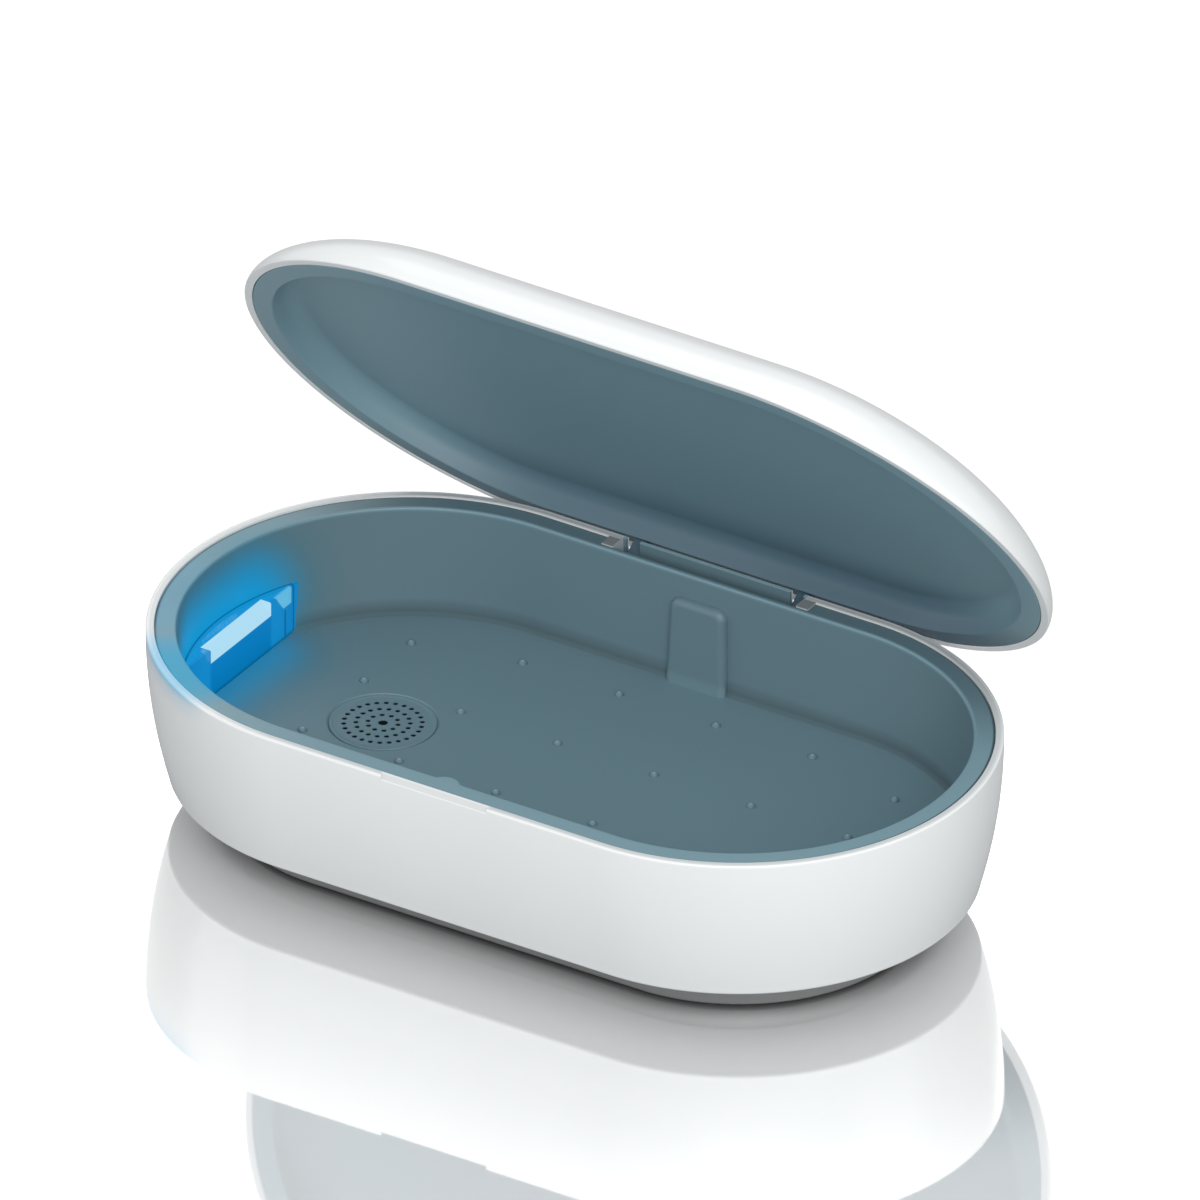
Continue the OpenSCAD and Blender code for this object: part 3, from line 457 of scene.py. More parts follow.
def moulded(name, colour, roughness, grain_mm, grain_depth, paint=None):
    """Plastic with a fine grain and faint clouds. paint may change its colour and add painted
    shade, highlights and glow.
    """
    finish = Finish(name)
    cloud = finish.noise(45, 1.0)
    grain = finish.noise(grain_mm, 1.0)
    sockets = {
        "Base Color": finish.mix(cloud, rgb(*colour), times(0.94, colour)),
        "Roughness": roughness + 0.06 * (grain - 0.5) + 0.05 * (cloud - 0.5),
        "Normal": finish.bump(grain, grain_depth),
    }
    if paint:
        paint(finish, sockets)
    return finish.surface(sockets)


print("blue-grey plastic is", blue_grey)


# %% [markdown]
# ## Shade and glow on the tray
# Corners collect less light, so shade is painted into the tray: it is darker inside,
# darkest along the foot of its wall, and darker on the rear of its rim and in the seam at
# the front. Its bumps get a painted highlight on top and a thin painted dark ring at the
# foot. Near the lamp, the lamp's light is painted on as a deep blue colour, a blue tint
# and a blue glow.

# %% Painter of the tray
bump_area = 48
# Painted highlight for the tops of the bumps.
painted_bump_highlight = rgb(0.62, 0.74, 0.78)
# Painted lamp light: a blue tint around the tube, and a near-black blue under its painted glow.
painted_spill_tint = rgb(0.02, 0.22, 0.30)
painted_spill_deep = rgb(0.0, 0.03, 0.06)


def paint_tray(finish, sockets):
    """Painted shade inside, in the fillet, on the rear rim and in the seam, painted light on the
    bumps, and the lamp's painted light.
    """
    reach = from_spine(finish)
    height = finish.z - tray_floor
    # Painted shade: darker inside, on the wall, in the fillet at its foot, on the rear rim and in the
    # seam.
    inside = 1 - finish.z.step(tray_top - 1.2, tray_top - 0.2)
    fillet = reach.step(tray_foot - 1.4, tray_foot - 0.5) * (1 - height.step(1, 5))
    wall = inside * height.step(1.5, 4)
    seam = reach.step(tray_outer - 0.55, tray_outer - 0.4) * finish.y.step(-45, -25)
    flat = (1 - inside) * reach.step(tray_inner + 0.5, tray_inner + 1)
    back = finish.y.step(20, 50) * flat
    shade = 0.2 * inside + 0.12 * wall + 0.36 * fillet + 0.43 * back
    colour = finish.darker(sockets["Base Color"], shade.at_least(0.7 * seam))
    # Painted shade in a ring at each bump's foot, and a painted highlight on its top.
    near_bumps = 1 - reach.step(bump_area, bump_area + 1)
    bump_foot = height.between(0.04, 0.5, 0.03) * near_bumps
    bump_top = height.step(0.68, 0.8) * near_bumps * (1 - height.step(0.9, 1))
    colour = finish.darker(colour, 0.28 * bump_foot)
    colour = finish.mix(0.35 * bump_top, colour, painted_bump_highlight)
    # The lamp's painted light: a blue glow and a blue tint near the tube and on the rims.
    near = 0.92 * lamp_cloud(finish, spill_gone)
    far = 0.37 * rim_cloud(finish, *front_rim_spill)
    far = far.at_least(0.12 * rim_cloud(finish, *end_rim_spill))
    glow = near.at_least(far)
    spill_tint_share = (0.9 * lamp_cloud(finish, spill_gone + 8)).at_least(2.65 * far)
    colour = finish.mix(spill_tint_share, colour, painted_spill_tint)
    sockets["Base Color"] = finish.mix(near, colour, painted_spill_deep)
    sockets["Roughness"] = sockets["Roughness"] + 0.45 * fillet
    sockets["Emission Color"] = finish.mix(glow, rgb(0, 0, 0), spill_blue)
    sockets["Emission Strength"] = 1.0


print("the tray glows within", spill_gone, "mm of the tube")


# %% [markdown]
# ## Shade on the disc, the base and the lid's lining
# Through the disc's holes one looks into a dark cup, so their walls get a painted shade
# that is nearly black. The trough of the hinge is blue-grey inside, like the tray, though it
# belongs to the white base, with a painted shade inside it and a painted lighter top edge.
# The lining gets less light towards the hinge, so a painted shade darkens it there. All this
# could be left to the lights, but they would need far more light paths to find such narrow places.

# %% Painters of the disc, the base and the lining
hole_field = 10.4
hole_painted_shade = rgb(0.006, 0.012, 0.016)
painted_rim_spill = rgb(0.05, 0.48, 0.78)
lining_shade = rgb(0.0, 0.025, 0.06)


def paint_disc(finish, sockets):
    """Painted shade: as dark as the tray's painted inside, and nearly black in the holes, where no
    light reaches.
    """
    across = finish.x - disc_x
    from_centre = (across * across + finish.y * finish.y).root()
    # Painted shade, nearly black, on the walls of the holes.
    deep = 1 - finish.z.step(disc_plate - 0.3, disc_plate - 0.1)
    deep = deep * (1 - from_centre.step(hole_field, hole_field + 0.4))
    # Painted shade, as dark as the tray's painted inside.
    colour = finish.darker(sockets["Base Color"], 0.2)
    sockets["Base Color"] = finish.mix(deep, colour, hole_painted_shade)


def paint_base(finish, sockets):
    """Blue-grey in the hinge trough, with painted shade and a painted lighter top edge. Painted
    shade at the trough's ends, on the notch and on the rim, and the lamp's painted blue spill.
    """
    from_middle = abs(finish.x)
    trough = (
        finish.z.between(trough_floor - 1, rim_z + 0.1, 0.05)
        * finish.y.between(trough_front - 2, rim_radius - 0.5, 0.05)
        * (1 - from_middle.step(trough_half - 0.05, trough_half + 0.05))
    )
    # Painted shade on the notch's sloping face.
    notch = (
        (1 - finish.z.step(rim_z - 0.3, rim_z - 0.15))
        * finish.z.step(rim_z - 1.6, rim_z - 1.5)
        * finish.y.between(-rim_radius + 0.2, -strip_inner, 0.05)
        * (1 - from_middle.step(notch_half + 0.1, notch_half + 0.3))
    )
    # Painted shade on the tabs at the trough's ends.
    end_wall = (
        finish.z.step(tray_top - 0.2, tray_top)
        * from_middle.between(trough_half + 0.1, trough_half + trough_end + 0.3, 0.05)
        * finish.y.between(trough_front - 3, strip_inner - 0.1, 0.1)
    )
    # Painted shade on the rear rim and on the inner part of the rim strip.
    on_rim = finish.z.step(rim_z - 0.3, rim_z - 0.1)
    back = finish.y.step(30, 55) * on_rim
    strip = on_rim * (1 - from_spine(finish).step(rim_radius - 1.2, rim_radius - 0.6))
    shade = 0.25 * back + 0.16 * strip + 0.22 * notch + 0.3 * end_wall
    colour = finish.darker(sockets["Base Color"], shade)
    # The lamp's painted blue spill on the front rim, weaker lower down.
    weaker_below = 0.45 + 0.55 * finish.z.step(rim_z - 3, rim_z)
    spill = 0.66 * rim_cloud(finish, *front_rim_spill) * weaker_below
    colour = finish.mix(spill, colour, painted_rim_spill)
    # The trough's blue-grey as a painted shaded copy below the rim and a painted lit copy on it.
    trough_shade_and_light = finish.mix(on_rim, times(0.7, blue_grey), times(1.25, blue_grey))
    sockets["Base Color"] = finish.mix(trough, colour, trough_shade_and_light)


def paint_lining(finish, sockets):
    """Painted shade: a little darker in the middle and towards the hinge."""
    low = 1 - finish.z.step(rim_z, rim_z + 22)
    middle = finish.x.between(-55, 85, 25)
    shade = (0.45 + 0.15 * finish.x.step(-20, 50)) * low + 0.12 * middle
    sockets["Base Color"] = finish.mix(shade, sockets["Base Color"], lining_shade)


print("three painters are ready")

# %% Plastics of this box
white_skin = ((0.84, 0.865, 0.87), 0.24, 2.6, 0.0015)
base_plastic = moulded("base_plastic", *white_skin, paint_base)
white_plastic = moulded("gloss_white_plastic", *white_skin)
tray_plastic = moulded("tray_plastic", blue_grey, 0.48, 0.35, 0.012, paint_tray)
disc_plastic = moulded("disc_plastic", blue_grey, 0.45, 0.35, 0.01, paint_disc)
liner_plastic = moulded("liner_plastic", blue_grey, 0.48, 0.35, 0.012, paint_lining)
plinth_plastic = moulded("plinth_plastic", (0.30, 0.31, 0.31), 0.42, 0.4, 0.012)
button_plastic = moulded("button_plastic", (0.42, 0.45, 0.46), 0.4, 0.4, 0.01)
black_plastic = moulded("black_moulding", (0.03, 0.03, 0.032), 0.45, 0.3, 0.01)
print("eight moulded plastics")


# %% [markdown]
# ## Lamp cover and tube
# The cover is clear. In the photograph the lit tube shows in its rounded upper edge
# as one bright bar. The flat face below it glows deep blue, lighter beyond the ends
# of the tube, and a pale reflection lies in its upper rear corner. Real refraction
# of a lit tube would be noisy and would not survive an export, so the finish is
# written on the cover's real places, and the bar ends where the tube ends.

# %% Lit cover
# Emission colours for the cover's painted glow, painted dark lines, painted shade and painted
# reflection.
bar_bright = rgb(0.425, 0.69, 0.81)
cover_deep = rgb(0.0, 0.165, 0.44)
cover_low = rgb(0.0, 0.14, 0.36)
cover_light = rgb(0.005, 0.225, 0.52)
cover_dark = rgb(0.0, 0.06, 0.14)
cover_painted_reflection = rgb(0.12, 0.45, 0.66)
cover_top = rgb(0.008, 0.25, 0.55)
cover_outline = rgb(0.0, 0.09, 0.2)
bar_edge = 0.12
bar_depth = 3
short_dark_line_span = (19.3, 20.0)
short_dark_line_top = (7.6, 8.2)
long_dark_line_span = (23.0, 23.6)
reflection_slant = (15.4, 15.9)
reflection_rear = (22.2, 22.5)
reflection_foot = (8.6, 8.9)


def cover_face(finish, height, along, bar_foot):
    """The upright face's painted glow: deep blue, lighter past the tube, with two painted dark
    lines, painted shade at its foot and a painted pale reflection.
    """
    out = abs(along)
    beyond_bar = out.step(lamp_half - bar_edge, lamp_half + bar_edge)
    face = finish.mix(height.step(0, bar_foot), cover_low, cover_deep)
    face = finish.mix(0.75 * beyond_bar, face, cover_light)
    face = finish.mix(0.6 * out.between(lamp_half - 0.5, lamp_half + 0.5, 0.3), face, cover_deep)
    face = finish.mix(0.5 * out.step(lamp_half + 3, lamp_half + 9), face, cover_deep)
    # Two painted dark lines near the rear end of the face, and painted shade at its foot.
    short_dark_line = along.between(*short_dark_line_span, 0.15) * (1 - height.step(*short_dark_line_top))
    slot = short_dark_line.at_least(along.between(*long_dark_line_span, 0.15))
    at_foot = 1 - height.step(0.3, 1.4)
    face = finish.mix(0.75 * at_foot.at_least(slot), face, cover_dark)
    # A painted pale reflection in the upper rear corner of the face.
    slant = along + 0.75 * (height - 13)
    plate = slant.step(*reflection_slant) * (1 - along.step(*reflection_rear)) * height.step(*reflection_foot)
    return finish.mix(plate, face, cover_painted_reflection)


def lit_cover():
    finish = Finish("lit_cover")
    height = finish.z - tray_floor
    along = finish.y - lamp_y
    bar_foot = window_high.z - tray_floor - window_round
    # The painted bright bar, where the lit tube shows through the rounded edge.
    beyond_end = abs(along).step(lamp_half + bar_edge, lamp_half + 2 * bar_edge)
    bar = height.step(bar_foot - bar_edge, bar_foot + bar_edge) * (1 - beyond_end)
    bar = bar * finish.x.step(-window_face - bar_depth - 0.1, -window_face - bar_depth + 0.1)
    # A painted dark line where the cover's top meets the tray wall.
    wall_reach = tray_foot + draft_slope * (window_high.z - tray_floor)
    outline = from_spine(finish).step(wall_reach - 0.8, wall_reach - 0.4)
    top = finish.mix(outline, cover_top, cover_outline)
    on_top = 1 - finish.x.step(-window_face - 1.2, -window_face - 0.2)
    on_top = on_top * height.step(bar_foot, bar_foot + 2.5)
    body = finish.mix(on_top, cover_face(finish, height, along, bar_foot), top)
    haze = finish.noise(3.0, 1.0)
    clear = (1 - bar) * (0.03 + 0.05 * haze + 0.1 * on_top)
    return finish.surface(
        {
            "Base Color": rgb(0.0, 0.05, 0.12),
            "Roughness": 0.1 + 0.06 * haze,
            "Specular IOR Level": 0.25,
            "Emission Color": finish.mix(bar, body, bar_bright),
            "Emission Strength": 1.0,
            "Alpha": 1 - clear,
            "Normal": finish.bump(haze, 0.004),
        }
    )


cover_finish = lit_cover()
print("the bright bar is", round(2 * lamp_half, 1), "mm long")

# %% Lit tube
def lit_tube():
    """Quartz glass, brightest in the middle and bluer where its ends dim."""
    finish = Finish("lit_tube")
    ends = abs(finish.y - lamp_y).step(lamp_half - 3, lamp_half)
    return finish.surface(
        {
            "Base Color": rgb(0.7, 0.88, 1.0),
            "Roughness": 0.05 + 0.05 * finish.noise(2.0),
            "Emission Color": finish.mix(ends, rgb(0.55, 0.85, 1.0), rgb(0.1, 0.5, 0.9)),
            "Emission Strength": 2.0,
        }
    )


tube_finish = lit_tube()
print("tube:", tube_finish.name)


# %% [markdown]
# ## Metals and small finishes
# Pressed and turned metal carries fine marks in the direction of its making. The
# scent pad is a dark felt, a tangle of dark fibres, and its darkness also stands in for
# the shade in the disc's holes. Silicone has a moulded pattern that grips, and a circuit
# board shows copper tracks through its green lacquer. Most of them are two shades of one
# colour that follow a pattern, so one helper writes both shades and the roughness that
# goes with them.

# %% Metals
def two_shades(finish, pattern, first, second, roughness, spread):
    """Colour and roughness that follow a pattern."""
    return {
        "Base Color": finish.mix(pattern, first, second),
        "Roughness": roughness + spread * (pattern - 0.5),
    }


def drawn_metal(name, colour, roughness, drawn_axis):
    """Metal with marks drawn out along one axis."""
    finish = Finish(name)
    stretch = tuple(0.06 if axis == drawn_axis else 1.0 for axis in range(3))
    marks = finish.noise(0.25, 3.0, stretch)
    skin = two_shades(finish, marks, rgb(*colour), times(0.82, colour), roughness, 0.15)
    return finish.surface(skin | {"Metallic": 1.0, "Normal": finish.bump(marks, 0.004)})


plated_steel = drawn_metal("plated_steel", (0.66, 0.67, 0.69), 0.3, 0)
socket_steel = drawn_metal("socket_steel", (0.62, 0.63, 0.65), 0.26, 1)
bright_sheet = drawn_metal("bright_sheet", (0.88, 0.89, 0.9), 0.15, 2)
contact_gold = drawn_metal("contact_gold", (0.86, 0.62, 0.28), 0.25, 1)
print("four metals")

# %% Felt, silicone, board, wire and light guide
dot_pitch = 2
track_pitch_x = 2.54
track_pitch_y = 3.81


def ripples(axis, pitch):
    """A wave along one axis, with one crest in each pitch."""
    return axis.math("SINE", axis * (2 * math.pi / pitch))


# A dark felt; its darkness also stands in for the shade in the disc's holes.
def pressed_felt():
    finish = Finish("pressed_felt")
    fibres = finish.noise(0.5, 5.0)
    skin = two_shades(finish, fibres, rgb(0.02, 0.02, 0.022), rgb(0.07, 0.07, 0.075), 0.9, 0.08)
    return finish.surface(skin | {"Normal": finish.bump(fibres, 0.2)})


def grip_silicone():
    """Rows of small lens-shaped dots. One wave makes two of them, at its crest and its trough."""
    finish = Finish("grip_silicone")
    dust = finish.noise(1.2, 3.0)
    skin = two_shades(finish, dust, rgb(0.022, 0.022, 0.024), rgb(0.035, 0.035, 0.038), 0.62, 0.15)
    wave = 2 * dot_pitch
    dots = abs(ripples(finish.x, wave) * ripples(finish.y, wave))
    return finish.surface(skin | {"Normal": finish.bump(dots, 0.3)})


def lacquered_board():
    """Green lacquer over copper tracks that run along and across."""
    finish = Finish("lacquered_board")
    tracks = (ripples(finish.x, track_pitch_x) > 0.8) + (ripples(finish.y, track_pitch_y) > 0.8)
    tracks = tracks * (finish.noise(9.0, 0.0) > 0.5)
    return finish.surface(
        {
            "Base Color": finish.mix(0.5 * tracks, rgb(0.012, 0.085, 0.035), rgb(0.05, 0.22, 0.09)),
            "Roughness": 0.32 + 0.08 * finish.noise(0.8),
            "Normal": finish.bump(tracks, 0.03),
        }
    )


def insulated_wire():
    finish = Finish("insulated_wire")
    spots = finish.noise(0.6, 2.0)
    skin = two_shades(finish, spots, rgb(0.02, 0.02, 0.022), rgb(0.045, 0.045, 0.05), 0.5, 0.1)
    return finish.surface(skin | {"Normal": finish.bump(spots, 0.01)})


def guide_plastic():
    """Milky clear rod that carries the light of the indicator to the wall."""
    finish = Finish("guide_plastic")
    haze = finish.noise(0.7, 2.0)
    skin = two_shades(finish, haze, rgb(0.75, 0.83, 0.86), rgb(0.62, 0.74, 0.80), 0.2, 0.1)
    glow = finish.mix(haze, rgb(0.10, 0.34, 0.62), rgb(0.06, 0.26, 0.52))
    return finish.surface(skin | {"Emission Color": glow, "Emission Strength": 0.35})


felt_finish = pressed_felt()
silicone_finish = grip_silicone()
board_finish = lacquered_board()
wire_finish = insulated_wire()
guide_finish = guide_plastic()
print(len(bpy.data.materials), "materials in all")


# %% [markdown]
# ## Floor
# The photograph stands the box on a white glossy table. The floor is pale, mirrors
# the box and takes its shadow, and a painted shade makes that shadow deepest around the
# plinth. It could be a plain mirror under a clear coat, but a mix of a matte and a
# mirror shader lets each be set alone. The floor is whiter for the camera than for the
# light that it throws back, so that it doesn't light the object from below.

# %% Floor
floor_half = 4.0
table_grey = rgb(0.45, 0.455, 0.46)
table_white = rgb(1.3, 1.3, 1.3)
contact_shade = 0.63
mirror_share = 0.74
mirror_loss = 0.12
mirror_fade = (95, 140)
floor_mesh = bpy.data.meshes.new("floor")
corners = [(-1, -1), (1, -1), (1, 1), (-1, 1)]
floor_mesh.from_pydata([(x * floor_half, y * floor_half, 0) for x, y in corners], [], [(0, 1, 2, 3)])
floor = bpy.data.objects.new("floor", floor_mesh)
scene.collection.objects.link(floor)


def dress(piece, finish):
    """Gives a piece one finish and no other."""
    piece.data.materials.clear()
    piece.data.materials.append(finish)


def glossy_table():
    finish = Finish("glossy_table")
    seen = finish.node("ShaderNodeLightPath")
    reach = from_spine(finish)
    # Painted contact shade around the plinth, on the matte part and the mirror part alike.
    shade = contact_shade - contact_shade * reach.step(plinth_radius - 1, plinth_radius + 8)
    white = finish.darker(finish.mix(seen, table_grey, table_white), shade)
    matte = finish.node("ShaderNodeBsdfDiffuse", {}, {"Color": white})
    sheen = finish.darker(rgb(1, 1, 1), shade)
    mirror = finish.node("ShaderNodeBsdfGlossy", {}, {"Color": sheen, "Roughness": 0.03})
    share = seen * (mirror_share - mirror_loss * reach.step(*mirror_fade))
    return finish.end(finish.node("ShaderNodeMixShader", {}, {0: share, 1: matte, 2: mirror}))


dress(floor, glossy_table())
print("floor", 2 * floor_half, "m square")


# %% [markdown]
# ## Outlines
# Every large moulding of this box has one cross-section all the way around the
# oblong, like a picture frame. So each is described by a flat outline, with the
# distance from the spine first and the height second. Modelling by hand could give
# the same shapes, but an outline keeps every rounding a named size.

# %% Outline helpers
def arc(centre_r, centre_z, radius, start, end, steps):
    """Points around part of a circle, angles in degrees."""
    points = []
    for i in range(steps + 1):
        angle = math.radians(start + (end - start) * i / steps)
        points.append((centre_r + radius * math.cos(angle), centre_z + radius * math.sin(angle)))
    return points


def side_at(z):
    """How far the gently curved side stands from the spine at height z."""
    return rim_radius - side_radius + math.sqrt(side_radius**2 - (rim_z - z) ** 2)


def side(inset, z_high, z_low, steps):
    """Points down the side, drawn in by inset."""
    heights = [z_high + (z_low - z_high) * i / steps for i in range(steps + 1)]
    return [(side_at(z) - inset, z) for z in heights]


def crown(inset, reach, z_low, rise, steps):
    """The rounding of the lid from its middle out to its side, a little squarer than an ellipse."""
    points = []
    for i in range(steps + 1):
        t = math.pi / 2 * (1 - i / steps)
        power = 2 / crown_power
        across = rim_radius - inset - reach * (1 - abs(math.cos(t)) ** power)
        points.append((across, z_low + rise * math.sin(t) ** power))
    return points


print("side at the foot stands", round(side_at(foot_z), 2), "mm from the spine")

# %% Outlines of the base and the tray
plinth_lap = 2.4
opening_radius = plinth_radius - plinth_lap
ledge_width = 1.1
wall_lean = math.degrees(math.atan(draft_slope))


def wall_outline():
    """White wall of the base: rim, curved side, rounded foot and underside."""
    soft = 0.15
    foot_r = side_at(foot_z) - foot_round
    under_z = foot_z - foot_round - (foot_r - opening_radius) * underside_rise
    ledge_z = tray_top - tray_plate
    ledge_r = strip_inner - ledge_width
    return (
        [(strip_inner, rim_z - soft), (strip_inner + soft, rim_z)]
        + arc(rim_radius - rim_round, rim_z - rim_round, rim_round, 90, 5, 6)
        + side(0, rim_z - rim_round - 0.4, foot_z + 0.5, 30)
        + arc(foot_r, foot_z, foot_round, -16, -72, 7)
        + [(opening_radius, under_z), (opening_radius, under_z + shell_wall)]
        + side(shell_wall, foot_z + 0.8, ledge_z - 2, 10)
        + [(ledge_r, ledge_z - 0.6), (ledge_r, ledge_z), (strip_inner, ledge_z)]
    )


def tray_outline():
    """Floor, fillet, sloping wall and flat rim, and back underneath."""
    soft = 0.25
    lip = 0.5
    under = tray_floor - tray_plate
    outer = tray_fillet + 0.6
    wall_foot = tray_foot + tray_wall
    rim_under = tray_top - tray_plate
    return (
        [(0, tray_floor)]
        + arc(tray_foot - tray_fillet, tray_floor + tray_fillet, tray_fillet, -90, -wall_lean, 7)
        + arc(tray_inner + lip, tray_top - lip, lip, 180 - wall_lean, 90, 5)
        + arc(tray_outer - soft, tray_top - soft, soft, 90, 0, 3)
        + [(tray_outer, rim_under), (tray_inner + tray_wall - draft_slope * tray_plate, rim_under)]
        + arc(wall_foot - outer, under + outer, outer, -wall_lean, -90, 5)
        + [(0, under)]
    )


print(len(wall_outline()), "and", len(tray_outline()), "points")

# %% Outlines of the lid and its lining
def lid_outline():
    """Dome, outer edge, skirt and the dome's inner side."""
    edge = 0.35
    skirt_z = lid_plane + lid_skirt
    outer = crown(0, crown_reach, skirt_z, lid_height - lid_skirt, 48)
    inner = crown(shell_wall, crown_reach - 1, skirt_z, lid_height - lid_skirt - shell_wall, 24)
    return (
        [(0, lid_top)]
        + outer
        + arc(rim_radius - edge, lid_plane + edge, edge, 0, -90, 4)
        + [(strip_inner + 0.1, lid_plane), (strip_inner, lid_plane + 0.1)]
        + inner[::-1]
        + [(0, lid_top - shell_wall)]
    )


def liner_outline():
    """Flat border, soft corner and shallow hollow of the lid's lining."""
    soft = 0.25
    lip = 0.4
    fillet = 5
    hollow = lid_plane + liner_depth
    corner = liner_inner - 0.6 - fillet
    return (
        [(0, hollow)]
        + arc(corner, hollow - fillet, fillet, 90, 10, 12)
        + arc(liner_inner + lip, lid_plane + lip, lip, 190, 270, 4)
        + arc(liner_outer - soft, lid_plane + soft, soft, -90, 0, 3)
        + [(liner_outer, lid_plane + liner_plate), (liner_inner + liner_plate, lid_plane + liner_plate)]
        + arc(corner, hollow - fillet, fillet + liner_plate, 14, 90, 8)
        + [(0, hollow + liner_plate)]
    )


print(len(lid_outline()), "and", len(liner_outline()), "points")


# %% [markdown]
# ## Sweeping an outline around the oblong
# The path is two half circles joined by two straight lines. The Geometry Nodes
# tree builds it from its sizes, and sweeps the outline along it. A bevelled curve
# could do the same once, but the tree serves four mouldings and the hollow of the
# tray. An outline that starts and ends on the spine closes itself there, once its
# meeting points merge.

# %% Geometry Nodes helpers
class ShapeTree(Graph):
    """A Geometry Nodes tree with named inputs."""

    def __init__(self, name, sockets):
        tree = bpy.data.node_groups.new(name, "GeometryNodeTree")
        super().__init__(tree)
        tree.interface.new_socket("Geometry", in_out="OUTPUT", socket_type="NodeSocketGeometry")
        for socket, kind in {"Geometry": "Geometry", **sockets, "Finish": "Material"}.items():
            tree.interface.new_socket(socket, in_out="INPUT", socket_type="NodeSocket" + kind)
        self.geometry = self.node("NodeGroupInput")
        self.given = {socket: self.geometry.pick(socket) for socket in [*sockets, "Finish"]}

    def point(self, x=0.0, y=0.0, z=0.0):
        return self.node("ShaderNodeCombineXYZ", {}, {"X": x, "Y": y, "Z": z})

    def end(self, geometry):
        """Ends the tree in Realize Instances and Set Material."""
        real = self.node("GeometryNodeRealizeInstances", {}, {0: geometry})
        sockets = {"Geometry": real, "Material": self.given["Finish"]}
        self.node("NodeGroupOutput", {}, {0: self.node("GeometryNodeSetMaterial", {}, sockets)})
        return self.tree


def plain_mesh(piece):
    """Turns what a piece's modifiers make into its own mesh, and removes them."""
    graph = bpy.context.evaluated_depsgraph_get()
    mesh = bpy.data.meshes.new_from_object(piece.evaluated_get(graph))
    piece.modifiers.clear()
    old = piece.data
    piece.data = mesh
    bpy.data.meshes.remove(old)
    return piece


def grown(piece, tree, values):
    """Runs a tree on a piece. An input is set by its socket's identifier, before evaluation."""
    modifier = piece.modifiers.new(tree.name, "NODES")
    modifier.node_group = tree
    for socket in tree.interface.items_tree:
        if socket.in_out == "INPUT" and socket.name in values:
            modifier[socket.identifier] = values[socket.name]
    return plain_mesh(piece)


print("a tree takes named inputs and ends in its finish")

# %% Pieces and their faces
def new_piece(name, mesh=None):
    piece = bpy.data.objects.new(name, mesh or bpy.data.meshes.new(name))
    scene.collection.objects.link(piece)
    return piece


def remove(piece):
    mesh = piece.data
    bpy.data.objects.remove(piece)
    bpy.data.meshes.remove(mesh)


def outward(piece):
    """Merges double points and turns all faces of a closed piece outwards."""
    work = bmesh.new()
    work.from_mesh(piece.data)
    bmesh.ops.remove_doubles(work, verts=work.verts, dist=1e-6)
    bmesh.ops.dissolve_degenerate(work, edges=work.edges, dist=1e-7)
    bmesh.ops.recalc_face_normals(work, faces=work.faces)
    open_edges = sum(1 for edge in work.edges if not edge.is_manifold)
    work.to_mesh(piece.data)
    work.free()
    print(f"{piece.name}: {len(piece.data.polygons)} faces, {open_edges} open edges")
    return piece


print("a finished piece has no open edges")

# %% The sweep tree
def sweep_tree():
    floats = {"Spine Half": "Float", "Path Radius": "Float"}
    counts = {"Arc Points": "Int", "Straight Points": "Int"}
    shape = ShapeTree("sweep_around_oblong", {"Outline": "Object", **floats, **counts})
    given = shape.given
    half = given["Spine Half"]
    radius = given["Path Radius"]
    stretches = []
    for middle, start in ((half, -math.pi / 2), (-1 * half, math.pi / 2)):
        sockets = {"Resolution": given["Arc Points"], "Radius": radius}
        sockets |= {"Start Angle": start, "Sweep Angle": math.pi}
        half_circle = shape.node("GeometryNodeCurveArc", {"mode": "RADIUS"}, sockets)
        sockets = {"Geometry": half_circle, "Translation": shape.point(middle)}
        stretches.append(shape.node("GeometryNodeTransform", {}, sockets))
    for end, across in ((half, radius), (-1 * half, -1 * radius)):
        sockets = {"Start": shape.point(end, across), "End": shape.point(-1 * end, across)}
        straight = shape.node("GeometryNodeCurvePrimitiveLine", {}, sockets)
        sockets = {"Curve": straight, "Count": given["Straight Points"]}
        stretches.append(shape.node("GeometryNodeResampleCurve", {}, sockets))
    joined = shape.node("GeometryNodeJoinGeometry", {}, {0: stretches})
    wires = shape.node("GeometryNodeCurveToMesh", {}, {"Curve": joined})
    merged = shape.node("GeometryNodeMergeByDistance", {}, {"Geometry": wires, "Distance": 1e-5})
    path = shape.node("GeometryNodeMeshToCurve", {}, {"Mesh": merged})
    upright = shape.node("GeometryNodeSetCurveNormal", {"mode": "Z_UP"}, {"Curve": path})
    outline = shape.node("GeometryNodeObjectInfo", {}, {"Object": given["Outline"]})
    profile = shape.node("GeometryNodeMeshToCurve", {}, {"Mesh": outline.pick("Geometry")})
    surface = shape.node("GeometryNodeCurveToMesh", {}, {"Curve": upright, "Profile Curve": profile})
    closed = shape.node("GeometryNodeMergeByDistance", {}, {"Geometry": surface, "Distance": 1e-5})
    return shape.end(closed)


oblong_sweep = sweep_tree()
print("sweep tree:", len(oblong_sweep.nodes), "nodes")

# %% The four mouldings
def swept(name, outline, finish, closed=False):
    """Sweeps an outline in millimetres around the oblong and returns the piece."""
    path_radius = max(point[0] for point in outline)
    mesh = bpy.data.meshes.new("outline")
    count = len(outline)
    edges = [(i, (i + 1) % count) for i in range(count if closed else count - 1)]
    mesh.from_pydata([((r - path_radius) * MM, -z * MM, 0) for r, z in outline], edges, [])
    guide = new_piece("outline", mesh)
    values = {
        "Outline": guide,
        "Spine Half": spine_half * MM,
        "Path Radius": path_radius * MM,
        "Arc Points": 97,
        "Straight Points": 9,
        "Finish": finish,
    }
    piece = outward(grown(new_piece(name), oblong_sweep, values))
    remove(guide)
    return piece


